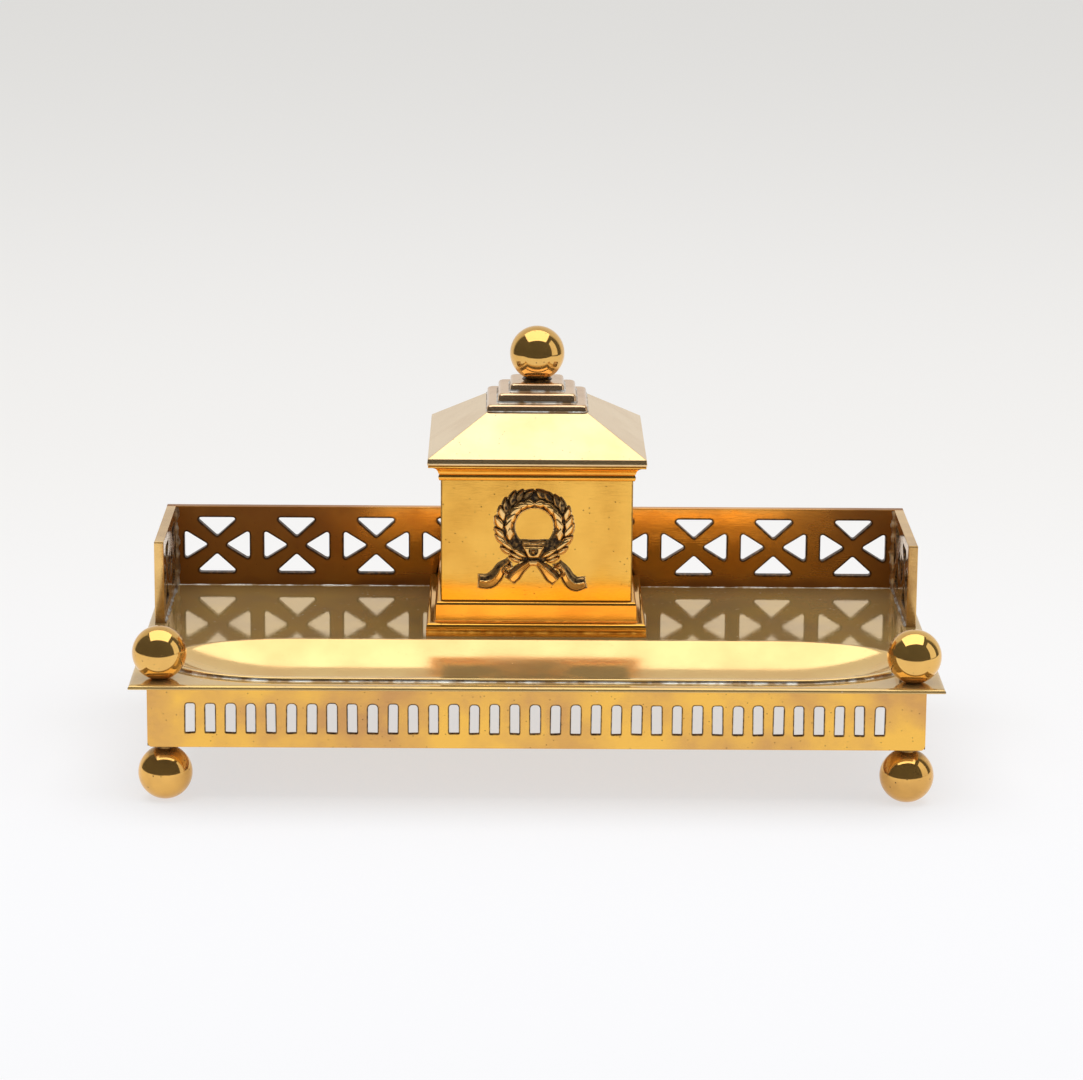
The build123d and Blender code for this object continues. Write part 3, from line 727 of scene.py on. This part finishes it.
low, high = box_mm("back_gallery")
left_low, left_high = box_mm("left_gallery")
right_low, well_low, well_high = box_mm("right_gallery")[0], *box_mm("well_body")
foot_z, head_z, inner_y, front = low[2], high[2], low[1], left_low[1] + 0.6
chance = np.random.default_rng(23)
runs = []
for side, inner_x, well_x in ((1, left_high[0], well_low[0]), (-1, right_low[0], well_high[0])):
    corner_foot = (inner_x, inner_y, foot_z)
    forwards, upwards, inwards = (0, -1, 0), (0, 0, 1), (side, 0, 0)
    for start, end, count, side_a, side_b, mean, spread in (
            (corner_foot, (well_x, inner_y, foot_z), 150, forwards, upwards, 0.27, 0.1),
            ((inner_x, front, foot_z), corner_foot, 90, inwards, upwards, 0.62, 0.26),
            (corner_foot, (inner_x, inner_y, head_z - 0.5), 60, inwards, forwards, 0.95, 0.4)):
        size = uneven(count, mean, spread, chance)
        runs.append(solder_bead(np.linspace(start, end, count), side_a, side_b, size))
beads = make_piece("gallery_solder", runs, 60)
carried(beads, grey_solder, "stand", "gallery_brass")


# ------------------------ the inkwell's case
# A square case folded from sheet and closed by a soldered floor. Its corners are only just
# softened, and its front is left plain behind the wreath.

def soft_profile(corners, radii, arc=6, support=0.05):
    """An open profile whose inner corners are arcs, with a point close by on each side of an arc.

    Those points keep the flats between the arcs flat under smooth shading.
    """
    corners = np.asarray(corners, float)
    out = [corners[0]]
    for before, here, after, radius in zip(corners, corners[1:], corners[2:], radii):
        if radius == 0:
            out.append(here)
            continue
        a, b = before - here, after - here
        a, b = a / np.linalg.norm(a), b / np.linalg.norm(b)
        half = np.arccos(np.clip(a @ b, -1, 1)) / 2
        centre = here + (a + b) / np.linalg.norm(a + b) * radius / np.sin(half)
        start, end = here + a * radius / np.tan(half), here + b * radius / np.tan(half)
        t = np.linspace(0, 1, arc + 1)[:, None]
        v = (1 - t) * (start - centre) + t * (end - centre)
        out.append(start + a * support)
        out.extend(centre + radius * v / np.linalg.norm(v, axis=1, keepdims=True))
        out.append(end + b * support)
    out.append(corners[-1])
    return np.array(out)


def square_rings(profile, x, y, radius, wider=0.0, arc=5):
    """A grid up a square piece: a rounded square for each (half width, height) of the profile."""
    half, z = np.asarray(profile, float).T
    half = np.maximum(half, 1e-4)
    round_off = np.minimum(radius, 0.5 * half)
    near = np.minimum(0.1, 0.2 * half)
    rings = []
    for quarter in range(4):
        angle = np.radians(90 * quarter + np.linspace(0, 90, arc + 1))
        sx, sy = np.sign(np.cos(angle.mean())), np.sign(np.sin(angle.mean()))
        cx, cy = sx * (half + wider - round_off), sy * (half - round_off)
        arcs = [(cx + round_off * np.cos(a), cy + round_off * np.sin(a)) for a in angle]
        before, after = ((px - step * np.sin(a), py + step * np.cos(a))
                         for (px, py), a, step in ((arcs[0], angle[0], -near), (arcs[-1], angle[-1], near)))
        rings += [np.stack([x + px, y + py, z], -1) for px, py in (before, *arcs, after)]
    return np.stack(rings)


low, high = box_mm("well_body")
well_half, well_y = (high[0] - low[0]) / 2, (low[1] + high[1]) / 2
well_wall, well_wider = 1.5, 0.4
outline = soft_profile([(well_half - well_wall, low[2]), (well_half, low[2]), (well_half, high[2]),
                        (well_half - well_wall, high[2]), (well_half - well_wall, low[2])], (0, 0.2, 0.2))
walls = square_rings(outline, 0, well_y, 0.45, well_wider)
# Old polish and solder have stayed in a dark line down each folded corner.
corner_line = np.tile([0.0, 0.35, 0.5, 0.6, 0.6, 0.5, 0.35, 0.0], 4)[:, None]
case = make_piece("inkwell_case", [(walls, True, True, corner_line)])
# The bright orange that rises from the base moulding is a painted reflection of the pen pan.
case_brass = brass("case_brass", (0.92, 0.51, 0.095), (0.84, 0.43, 0.07), base=0.07, haze=0.09,
                   dents=0.8, relief=0.07, specks=0.5, foot=(plate_high[2] + 10.2) * MM, reach=0.014,
                   crust=0.0, painted_light=(0.98, 0.45, 0.015))
carried(case, case_brass, "stand", "well_brass", "well_body")
dressed("well_floor", raw_brass)


# ------------------------ the base moulding
# Two steps with well rounded upper edges, drawn through a die, mitred round the front of the case
# and let die into the gallery at the back.

def moulding_run(profile, back_y, back_slope):
    """A grid of the profile (outward, height) carried round the case's front with mitred corners.

    Its ends lie on back_y, or on the mitre where back_slope is 1, and are closed on a point.
    """
    d, z = np.asarray(profile, float).T
    x = well_half + d
    front, back = well_y - x, back_y + back_slope * d
    rows = [np.stack([s * x, y, z], -1) for s, y in ((-1, back), (-1, front), (1, front), (1, back))]
    close = lambda row: np.broadcast_to(row.mean(0), row.shape)
    return np.stack([close(rows[0]), *rows, close(rows[-1])])


low, high = box_mm("base_front_moulding")
lower_out, upper_out = 5.0, 1.96
lower_z, upper_z = low[2] + 4.3, high[2]
step_lean = 0.22
profile = soft_profile([
    (0, low[2]), (lower_out, low[2]), (lower_out - step_lean / 2, lower_z - 0.1), (upper_out + 0.5, lower_z),
    (upper_out, lower_z + 0.35), (upper_out - step_lean, upper_z - 0.1), (0, upper_z)],
    (0.2, 1.3, 0.2, 0.2, 1.1))
back_y = box_mm("base_left_moulding")[1][1]
base = make_piece("base_moulding", [(moulding_run(profile, back_y, 0), False, True)])
base_brass = brass("base_brass", (0.97, 0.52, 0.09), (0.88, 0.41, 0.06), base=0.055, haze=0.06,
                   dents=0.5, specks=0.3, film=0.12)
carried(base, base_brass, "stand", "well_brass", "base_front_moulding", "base_left_moulding",
        "base_right_moulding")


# ------------------------ the cornice
# A bead, a hollow and a square edge, mitred round the top of the case under the lid. The back run
# is let out for the hinge and keeps the shape of its CAD node.

low, high = box_mm("cornice_front")
bead_out, bead_top, cornice_out, cornice_edge = 0.85, low[2] + 2.1, 4.4, 0.7
t = np.linspace(0, 1, 8)
bead = np.stack([bead_out + 0.3 * np.sin(np.pi * t), low[2] + 0.1 + (bead_top - low[2] - 0.1) * t], -1)
turn = np.radians(np.linspace(0, 84, 10))
edge_z = high[2] - cornice_edge
hollow_rise = edge_z - bead_top - 0.3
hollow = np.stack([1.2 + 3.1 * (1 - np.cos(turn)), bead_top + 0.25 + hollow_rise * np.sin(turn)], -1)
fillet = [(0.75, bead_top + 0.1), (1.0, bead_top + 0.2)]
square_edge = soft_profile([(cornice_out - 0.15, edge_z), (cornice_out, edge_z + 0.1), (cornice_out, high[2]),
                            (0, high[2])], (0.05, 0.2), 4, 0.03)
profile = np.concatenate([[(0, low[2])], bead, fillet, hollow, square_edge])
cornice = make_piece("cornice_moulding", [(moulding_run(profile, well_y + well_half, 1), False, True)])
carried(cornice, base_brass, "stand", "well_brass", "cornice_front", "cornice_left", "cornice_right")
dressed("cornice_back", base_brass)


# ------------------------ the laurel wreath
# One casting, chased and soldered to the case's front: two branches of leaves that rise from a
# clasp, tied below with a ribbon. Polish lies on its heights and black patina in its hollows. The
# outer leaves at the top and the upper sides of the ribbon are painted dark: a painted reflection
# of the dark room.

wreath_x, wreath_z = -0.75, 73.5
relief_step = 0.15
skirt, skirt_height, sunk = 0.55, 0.14, -0.15
leaf_arch, edge_roll = 0.5, 0.5
path_steps = 70

x, y = np.meshgrid(np.arange(-19.5, 19.5, relief_step), np.arange(-22.2, 14.2, relief_step), indexing="ij")
inside, height, blackened = np.full(x.shape, -9.0), np.full(x.shape, sunk), np.zeros(x.shape)


def laid(depth, top, patina_and_painted_shade):
    """Lays a shape on the relief: depth is how far each point lies inside its outline, top its height.

    The edge rolls over within edge_roll of the outline: top - 0.55 (1 - depth / edge_roll)^2.
    """
    top = top - 0.55 * np.clip(1 - depth / edge_roll, 0, 1)**2
    over = (depth > 0) & (top > height)
    np.copyto(blackened, patina_and_painted_shade, where=over)
    np.copyto(height, top, where=over)
    np.maximum(inside, depth, out=inside)


def leaf(foot, tip, width, lift, patina_and_painted_shade=0.0):
    """A leaf from foot to tip, whose half width is sin(pi u^0.8): a low arch that rises to its tip.

    patina is how dark all of it is painted, but for a streak along one side that is left bright as a
    painted glint. On the outer row's top leaves it is a painted reflection of the dark room.
    """
    foot, tip = np.array(foot), np.array(tip)
    length = np.linalg.norm(tip - foot)
    way = (tip - foot) / length
    u = ((x - foot[0]) * way[0] + (y - foot[1]) * way[1]) / length
    off = (y - foot[1]) * way[0] - (x - foot[0]) * way[1]
    half = width / 2 * np.sin(np.pi * np.clip(u, 0, 1)**0.8)
    v = np.clip(off / np.maximum(half, 0.05), -1, 1)
    depth = np.where((u > 0) & (u < 1), half - np.abs(off), -9.0)
    vein = 0.07 * np.exp(-(v / 0.16)**2) * np.sin(np.pi * np.clip(u, 0, 1))
    shine = np.exp(-((v - 0.5) / 0.22)**2) * np.clip(1.6 * u, 0, 1)
    laid(depth, lift + leaf_arch * (1 - v**2) + 0.5 * u - vein, patina_and_painted_shade * (1 - 0.95 * shine))


def polygon(corners, top, patina_and_painted_shade):
    """A flat shape with straight sides, its corners given anticlockwise."""
    corners = np.array(corners, float)
    depth = np.full(x.shape, 9.0)
    for start, end in zip(corners, np.roll(corners, -1, 0)):
        way = (end - start) / np.linalg.norm(end - start)
        depth = np.minimum(depth, (y - start[1]) * way[0] - (x - start[0]) * way[1])
    laid(depth, top, patina_and_painted_shade)


def disc(cx, cy, radius, top, patina_and_painted_shade):
    """A round shape, domed by 0.25."""
    depth = radius - np.hypot(x - cx, y - cy)
    laid(depth, top + 0.25 * np.clip(depth / radius, 0, 1), patina_and_painted_shade)


def curve_through(points, count):
    """Points along a smooth curve through the given ones.

    Each stretch is a cubic that leaves a point in the direction between the two points beside it.
    """
    p = np.asarray(points, float)
    p = np.concatenate([[2 * p[0] - p[1]], p, [2 * p[-1] - p[-2]]])
    t = np.linspace(0, len(p) - 3 - 1e-6, count)
    k = t.astype(int)
    f = (t - k)[:, None]
    a, b, c, d = p[k], p[k + 1], p[k + 2], p[k + 3]
    return 0.5 * (2 * b + (c - a) * f + (2 * a - 5 * b + 4 * c - d) * f**2 + (3 * b - a - 3 * c + d) * f**3)


def ribbon(path, upper, ridge, upper_fall, lower_fall, patina_and_painted_shade):
    """A ribbon along a path of x, y, width and height, creased along its length at v = ridge.

    v runs from -1 to 1 across it, and 1 is the upper edge. Its height falls from the crease by
    upper_fall and lower_fall at the edges. patina is how dark the side above the crease and the
    lower edge are painted: a painted reflection of the dark room above the crease, and painted
    shade along the lower edge.
    """
    px, py, width, top = curve_through(path, path_steps).T
    dx, dy = np.gradient(px), np.gradient(py)
    n = np.hypot(dx, dy)
    along = (x[..., None] - px) * (dx / n) + (y[..., None] - py) * (dy / n)
    off = (y[..., None] - py) * (dx / n) - (x[..., None] - px) * (dy / n)
    nearest = np.hypot(along, off).argmin(-1)
    pick = lambda values: np.take_along_axis(values, nearest[..., None], -1)[..., 0]
    off, along = pick(off) * upper, pick(along)
    half = width[nearest] / 2
    past = np.where(nearest == path_steps - 1, along, np.where(nearest == 0, -along, -9.0))
    depth = np.minimum(half - np.abs(off), -past + 0.1 * np.abs(off / half))
    v = np.clip(off / half, -1, 1)
    above, below = (v - ridge) / (1 - ridge), (ridge - v) / (1 + ridge)
    fall = np.where(v > ridge, upper_fall * above, lower_fall * below)
    crease = 0.2 * np.exp(-((v - ridge) / 0.1)**2)
    # Painted reflection of the dark room above the crease, and painted shade along the lower edge.
    dark = (v > ridge + 0.12) & (v < 0.86) | (v < -0.82)
    laid(depth, top[nearest] - fall + crease, np.where(dark, patina_and_painted_shade, 0.0))


# The ground that the leaves lie on, black with old polish: a ring, filled in below.
distance = np.hypot(x, y)
laid(np.minimum(distance - 6.5, 11.7 - distance), 0.65, 1.0)
polygon([(-6.4, -8.6), (-3.2, -10.9), (3.2, -10.9), (6.4, -8.6), (6.0, -4.5), (-6.0, -4.5)], 0.65, 1.0)
# The ribbon: two tails that hang outwards, two that hang inwards, and a narrow curl by each pair.
ribbon([(-8.2, -11.2, 1.5, 1.0), (-10.4, -13.1, 2.7, 1.2), (-11.9, -15.8, 3.8, 1.2), (-14.3, -17.8, 4.3, 1.1),
        (-17.5, -17.8, 3.9, 1.3)], -1, 0.12, 0.8, 0.3, 0.95)
ribbon([(7.9, -11.8, 1.5, 1.0), (9.7, -14.2, 2.8, 1.2), (11.0, -16.8, 3.7, 1.2), (13.2, -18.6, 4.2, 1.1),
        (16.2, -18.1, 3.2, 1.3)], 1, 0.12, 0.8, 0.3, 0.95)
ribbon([(-1.2, -11.2, 1.7, 1.6), (-4.0, -13.4, 2.6, 1.5), (-6.2, -15.6, 3.8, 1.4), (-7.5, -17.3, 3.0, 1.5)],
       -1, 0.35, 0.7, 0.35, 0.8)
ribbon([(1.0, -11.3, 1.7, 1.6), (3.4, -13.6, 2.8, 1.5), (5.6, -15.9, 4.0, 1.4), (7.0, -17.3, 3.4, 1.5)],
       1, 0.35, 0.7, 0.35, 0.8)
ribbon([(-7.4, -12.7, 0.9, 1.7), (-9.0, -13.2, 1.1, 1.9), (-9.6, -14.4, 1.1, 1.9), (-8.3, -15.4, 1.0, 1.7)],
       -1, 0.0, 0.3, 0.3, 0.0)
ribbon([(6.4, -12.9, 0.9, 1.7), (8.3, -13.1, 1.1, 1.9), (9.4, -14.5, 1.1, 1.9), (8.4, -16.2, 1.0, 1.7)],
       1, 0.0, 0.3, 0.3, 0.0)
# The leaves, in two rows up each branch, which lean out and in from the ring's line, and rise to
# their tips. Those at the top of the outer row are painted dark: a painted reflection of the dark
# room.
chance = np.random.default_rng(5)
for side in (-1, 1):
    for row, (count, first, pitch, radius, length, width, lean) in enumerate((
            (8, 57, 14.8, 10.1, 5.0, 2.5, 24), (6, 62, 18.5, 8.9, 4.9, 2.9, -26))):
        for k in range(count):
            angle = np.radians(first + pitch * k + chance.uniform(-2, 2))
            way = angle + np.radians(chance.uniform(-6, 6) - lean)
            foot = np.array([side * radius * sin(angle), -radius * cos(angle)])
            reach = length * chance.uniform(0.9, 1.1) * (1 - 0.12 * (angle > np.radians(140)))
            tip = foot + reach * np.array([side * cos(way), sin(way)])
            # Painted reflection of the dark room on the outer row's top leaves.
            dull = 1.0 if row == 0 and angle > np.radians(112) else 0.0
            leaf(foot, tip, width * chance.uniform(0.9, 1.1), 1.15 + chance.uniform(-0.12, 0.12), dull)
    # Five longer leaves spring from the knot on each side.
    for start, end, width in (((6.2, -7.6), (11.7, -3.6), 2.0), ((2.3, -9.7), (7.6, -6.7), 1.9),
                              ((7.2, -8.6), (10.9, -6.3), 1.7), ((3.6, -10.3), (8.2, -8.1), 1.7),
                              ((4.0, -11.2), (8.2, -9.6), 1.5)):
        leaf((side * start[0], start[1]), (side * end[0], end[1]), width, 1.2)
# The clasp: a bar with a dip in the middle, over a tapered plate with a sunk round frame and a boss.
dip = 0.35 * np.cos(np.pi * np.clip(x / 3.9, -1, 1) / 1.6)**2
laid(np.minimum(0.85 - np.abs(y + 5.2 + dip), 3.9 - np.abs(x + 0.15)), 1.75, 0.75)
laid(np.minimum(0.22 - np.abs(y + 4.95 + dip), 3.5 - np.abs(x + 0.15)), 2.1, 0.0)
polygon([(-1.9, -9.8), (1.5, -9.8), (3.3, -6.1), (-3.7, -6.1)], 2.0, 0.0)
sunk_frame = np.minimum(1.55 - np.hypot(x + 0.25, (y + 7.1) * 0.8), -7.0 - y + 0.2) > 0
height[sunk_frame], blackened[sunk_frame] = 1.35, 0.8
disc(-0.3, -7.9, 0.75, 1.7, 0.0)
polygon([(-1.8, -12.3), (1.2, -12.3), (1.4, -10.6), (-2.0, -10.6)], 2.0, 0.0)
laid(np.minimum(0.25 - np.abs(y + 10.75), 1.9 - np.abs(x + 0.3)), 2.2, 1.0)

# Round the outline the casting keeps a thin polished skirt, where it was soldered down.
ramp = np.clip((inside + skirt) / 0.12, 0, 1)
height = np.where(inside > 0, np.clip(height, 0.2, 2.78), sunk + (skirt_height - sunk) * ramp)


def blurred(values, reach):
    """Each value's mean over a square of neighbours, 2 reach + 1 points on a side."""
    for axis in (0, 1):
        values = sum(np.roll(values, shift, axis) for shift in range(-reach, reach + 1)) / (2 * reach + 1)
    return values


hollow = np.clip((blurred(height, 5) - height - 0.04) / 0.22, 0, 1)
foot_line = np.where((inside <= 0) & (inside > -0.2), 0.9, 0.0)
blackened = np.where(inside > 0, np.maximum(hollow, blackened), foot_line)
kept = inside > -skirt
kept = kept[:-1, :-1] | kept[1:, :-1] | kept[:-1, 1:] | kept[1:, 1:]
# Two kept cells that only touch at a corner would share an edge of the wall, so the gap is filled.
crossed = kept[:-1, :-1] & kept[1:, 1:] & ~kept[1:, :-1] & ~kept[:-1, 1:]
kept[1:, :-1] |= crossed
crossed = kept[1:, :-1] & kept[:-1, 1:] & ~kept[:-1, :-1] & ~kept[1:, 1:]
kept[:-1, :-1] |= crossed
rows, columns = x.shape
front = quads(rows, columns, False, False)[kept.reshape(-1)]
back = front[:, ::-1] + rows * columns
edges = np.concatenate([front[:, [k, (k + 1) % 4]] for k in range(4)])
code, reverse = edges @ [rows * columns, 1], edges @ [1, rows * columns]
rim = edges[~np.isin(code, reverse)]
wall = np.stack([rim[:, 1], rim[:, 0], rim[:, 0] + rows * columns, rim[:, 1] + rows * columns], 1)
front_y = well_y - well_half
points = np.stack([wreath_x + x, front_y - height, wreath_z + y], -1).reshape(-1, 3)
behind = points.copy()
behind[:, 1] = front_y - sunk + 0.1
used, faces = np.unique(np.concatenate([front, back, wall]), return_inverse=True)
wreath = mesh_piece("laurel_wreath", np.concatenate([points, behind])[used], faces.reshape(-1, 4),
                    np.tile(blackened.reshape(-1), 2)[used], 70)
wreath_brass = brass("wreath_brass", (0.95, 0.62, 0.25), (0.88, 0.50, 0.15), base=0.10, haze=0.08,
                     scratches=0.03, specks=0.0, patina_and_painted_shade=(0.03, 0.017, 0.009), film=0.08)
carried(wreath, wreath_brass, "stand", "wreath_brass", "wreath")


# ------------------------ the glass pot
# A pressed glass liner with cut corners and a round bore, which lifts out for washing.

low, high = box_mm("glass_pot")
half = (high[0] - low[0]) / 2
bore, bore_floor, pot_sides = 21.0, high[2] - 39.0, 96
angle = 2 * np.pi * np.arange(pot_sides) / pot_sides
run_x, run_y = np.abs(np.cos(angle)), np.abs(np.sin(angle))
side = half / np.maximum(np.maximum(run_x, run_y), (run_x + run_y) * half / (2 * half - 4))
foot_z, head_z = low[2], high[2]
rings = [np.stack([radius * np.cos(angle), well_y + radius * np.sin(angle), np.full(pot_sides, z)], -1)
         for radius, z in (
             (0.0, foot_z), (side * 0.96, foot_z), (side, foot_z + 1.0), (side, head_z - 1.2),
             (side * 0.99, head_z - 0.3), (side * 0.96, head_z), (bore + 0.8, head_z),
             (bore + 0.2, head_z - 0.3), (bore, head_z - 1), (bore, bore_floor + 5),
             (bore - 1.5, bore_floor + 1.5), (bore - 5, bore_floor), (0.0, bore_floor))]
pot = make_piece("glass_liner", [(np.stack(rings, 1), True, False)])
glass, tree = new_material("pot_glass")
ripple = noise(tree, object_place(tree), 90, 2)
feed(tree, tree.nodes["Principled BSDF"], {
    "Base Color": (0.93, 0.97, 0.95, 1), "Transmission Weight": 1.0,
    "Roughness": remap(tree, ripple, to_low=0.01, to_high=0.08), "Normal": bump(tree, ripple, 0.2, 0.0005)})
carried(pot, glass, "stand", "pot_glass", "glass_pot")


# ------------------------ the lid
# A band and a hipped roof folded from one sheet, hollow below, with three stepped plates with
# rounded edges soldered on top in a stack.

low, high = box_mm("lid_shell")
lid_half, roof_half, lid_wall = 34.7, 15.8, 1.5
band_z = low[2] + 2.1
lid_profile = soft_profile([
    (lid_half - lid_wall, low[2] + 1.26), (lid_half - lid_wall, low[2]), (lid_half + 0.1, low[2]),
    (lid_half + 0.12, low[2] + 0.7), (lid_half - 0.02, band_z), (roof_half, high[2]), (0, high[2]),
    (0, high[2] - lid_wall), (15.38, high[2] - lid_wall), (lid_half - lid_wall, low[2] + 1.26)],
    (0, 0.25, 0.9, 0.25, 0.2, 0, 0, 0))
lid = make_piece("hipped_lid", [(square_rings(lid_profile, 0, well_y, 0.3), True, False)], 30)
lid_brass = brass("lid_brass", (0.88, 0.64, 0.34), (0.79, 0.54, 0.26), base=0.05, haze=0.09, scratches=0.07,
                  dents=0.9, relief=0.08, film=0.13, specks=0.4)
step_brass = brass("step_brass", (0.82, 0.56, 0.33), (0.62, 0.38, 0.21), haze=0.08, dents=0.5, film=0.10,
                   specks=0.5)
carried(lid, lid_brass, "lid", "lid_brass", "lid_shell")
for node, edge_round, flare, spread in (
        ("lid_step_large", 1.15, 0.22, 0.45),
        ("lid_step_middle", 1.2, 0.45, 0.55),
        ("lid_step_small", 1.1, 0.45, 0.55)):
    low, high = box_mm(node)
    half = (high[0] - low[0]) / 2 + spread
    corners = [(0, low[2]), (half, low[2]), (half - 0.25, high[2]), (0, high[2])]
    outline = soft_profile(corners, (0.0, edge_round), 8)
    step = make_piece(f"rounded_{node}", [(square_rings(outline, 0, well_y, 1.3), True, False)])
    carried(step, step_brass, "lid", "lid_brass", node)
    # Solder squeezed out under each plate when it was fixed, and was never quite cleaned off.
    foot_z, head_z = low[2] - 0.02, low[2] + 1.3 * flare
    profile = [(half - 0.6, foot_z), (half + flare, foot_z), (half + 0.35 * flare, low[2] + 0.3 * flare),
               (half - 0.02, head_z), (half - 0.6, head_z)]
    bead = make_piece(f"solder_{node}", [(square_rings(profile, 0, well_y, 1.3), True, True)])
    carried(bead, grey_solder, "lid", "lid_brass")

# The knob is a seventh ball, screwed and soldered down on to the top plate.
low, high = box_mm("finial_ball")
finial_radius = 8.82
ball = ball_profile(finial_radius, 1.6, 1e-4, low[2])
ball[:, 1] += high[2] - ball[-1, 1]
seat_radius, ring_radius, ring_height = 3.4, 4.9, 0.35
seat = ball[np.argmax(ball[:, 0] > seat_radius):]
outline = np.concatenate([[
    (0, low[2]), (ring_radius, low[2]), (ring_radius - 0.3, low[2] + 0.8 * ring_height),
    (seat_radius + 0.2, low[2] + ring_height)], seat])
# The seat ring and the ball's foot are painted black: a painted shadow where the knob sits on the plate.
blackened = np.where(np.arange(len(outline)) < 6, 1.0, 0.0)
finial = make_piece("turned_finial", [(turned(outline, 0, well_y), True, False, blackened)])
carried(finial, ball_brass, "lid", "ball_brass", "finial_ball")

# The butt hinge is let in between cornice and lid at the back, and keeps its CAD nodes.
for node in ("hinge_well_leaf", "hinge_lid_leaf", "hinge_pin"):
    dressed(node, base_brass)


# ------------------------ the studio
# A wide roll of white paper on a table, one large softbox overhead, a tall reflector on the
# right, and a dark room behind the camera, which polished brass shows as dark bands.

paper_half_width = 0.8
paper_front, paper_back = -0.46, 4.2
paper_glow = 0.64

mesh = bpy.data.meshes.new("paper_roll")
mesh.from_pydata([(-paper_half_width, paper_front, 0), (paper_half_width, paper_front, 0),
                  (paper_half_width, paper_back, 0), (-paper_half_width, paper_back, 0)], [], [(0, 1, 2, 3)])
mesh.update()
paper = added("paper_roll", mesh)
paper_white, tree = new_material("paper_white")
tree.nodes.clear()
place = add_node(tree, "SeparateXYZ", {"Vector": object_place(tree)}).outputs["Y"]
# The paper is painted greyer towards the back: a painted falloff of the softbox's light.
depth = remap(tree, place, -0.22, 0.5, kind="SMOOTHSTEP")
rays = add_node(tree, "LightPath").outputs
seen = sums(tree, "MAXIMUM", rays["Is Camera Ray"], rays["Is Glossy Ray"])
seen = sums(tree, "MAXIMUM", seen, rays["Is Transmission Ray"])
matt = add_node(tree, "BsdfDiffuse", {"Color": (0.96, 0.95, 0.97, 1)}).outputs[0]
painted_falloff = mix(tree, depth, (0.97, 0.98, 1.0, 1), (0.87, 0.86, 0.83, 1))
glow = add_node(tree, "Emission", {"Color": painted_falloff}).outputs[0]
blend = add_node(tree, "MixShader", {0: sums(tree, "MULTIPLY", seen, paper_glow), 1: matt, 2: glow})
add_node(tree, "OutputMaterial", {"Surface": blend.outputs[0]})
paper.data.materials.append(paper_white)


def soft_light(name, centre, size, radiance, turn):
    """A rectangular light; its power is radiance x pi x area."""
    data = bpy.data.lights.new(name, "AREA")
    data.shape = "RECTANGLE"
    data.size, data.size_y = size
    data.energy = radiance * np.pi * size[0] * size[1]
    light = added(name, data)
    light.location = centre
    light.rotation_euler = turn


lamp_height, rim_side, rim_back = 1.264, 0.93, 0.82
soft_light("softbox", (-0.02, 0.1, lamp_height), (1.68, 1.28), 1.9, (0, 0, 0))
soft_light("side_reflector", (1.3, -0.22, 0.65), (1.3, 0.72), 0.85, (0, radians(90), 0))

# Brass sees a light wall behind the tray and a dark room behind the camera, matt surfaces an even
# light, and the camera a pale backdrop.
room_dark, rim_dark, matt_light, backdrop = 0.05, 0.04, 0.45, 0.88
world = bpy.context.scene.world or bpy.data.worlds.new("studio_room")
bpy.context.scene.world = world
world.use_nodes = True
tree = world.node_tree
tree.nodes.clear()
way = add_node(tree, "TexCoord").outputs["Generated"]
way = add_node(tree, "SeparateXYZ", {"Vector": way}).outputs
# How far a direction runs level: sqrt(1 - z^2), kept just above 0.
flat = sums(tree, "SQRT", sums(tree, "SUBTRACT", 1.0001, sums(tree, "MULTIPLY", way["Z"], way["Z"])))
wall = remap(tree, sums(tree, "DIVIDE", way["Y"], flat), 0.4, 0.62, kind="SMOOTHSTEP")
dusk = remap(tree, way["Z"], 0.1, 0.8, 0.74, 0.56)
room = sums(tree, "MULTIPLY_ADD", wall, dusk, room_dark)
# The softbox's black rim, where it crosses the wall: a box round the lamp in the lamp's own plane.
over_x = sums(tree, "ABSOLUTE", sums(tree, "DIVIDE", way["X"], way["Z"]))
over_y = sums(tree, "DIVIDE", way["Y"], way["Z"])
inside_x = sums(tree, "LESS_THAN", over_x, rim_side / lamp_height)
inside_y = sums(tree, "LESS_THAN", over_y, rim_back / lamp_height)
rim = sums(tree, "MULTIPLY", inside_x, inside_y)
rim = sums(tree, "MULTIPLY", rim, sums(tree, "GREATER_THAN", way["Z"], 0.2))
room = mix(tree, rim, room, rim_dark, "FLOAT")
rays = add_node(tree, "LightPath").outputs
room = mix(tree, rays["Is Glossy Ray"], matt_light, room, "FLOAT")
direct = sums(tree, "MAXIMUM", rays["Is Camera Ray"], rays["Is Transmission Ray"])
room = mix(tree, direct, room, backdrop, "FLOAT")
sky = add_node(tree, "Background", {"Color": (1.0, 0.99, 0.97, 1), "Strength": room})
add_node(tree, "OutputWorld", {"Surface": sky.outputs["Background"]})


# ------------------------ the camera
# A long lens a little above the tray, level with the photograph: it looks down by 13.6 degrees.

picture_width, focal_length, sensor = 1083, 4119.0, 36.0
camera_data = bpy.data.cameras.new("camera")
camera_data.sensor_width = sensor
camera_data.lens = focal_length / picture_width * sensor
camera_data.clip_start, camera_data.clip_end = 0.01, 100
look_down, distance, yaw, roll = radians(13.61), 1318.5, radians(0.514), radians(0.441)
aim, pivot = Vector((1.6, 4.0, 68.1)), Vector((0, 4.0, 0))
forward = Vector((0, cos(look_down), -sin(look_down)))
right = Vector((cos(roll), sin(roll) * sin(look_down), sin(roll) * cos(look_down)))
up = right.cross(forward)
turn_back = Matrix.Rotation(-yaw, 3, "Z")
position = turn_back @ (aim - distance * forward - pivot) + pivot
axes = Matrix((turn_back @ right, turn_back @ up, turn_back @ -forward)).transposed()
camera = added("camera", camera_data)
camera.matrix_world = Matrix.Translation(position * MM) @ axes.to_4x4()
bpy.context.scene.camera = camera
bpy.context.scene.view_settings.view_transform = "Standard"
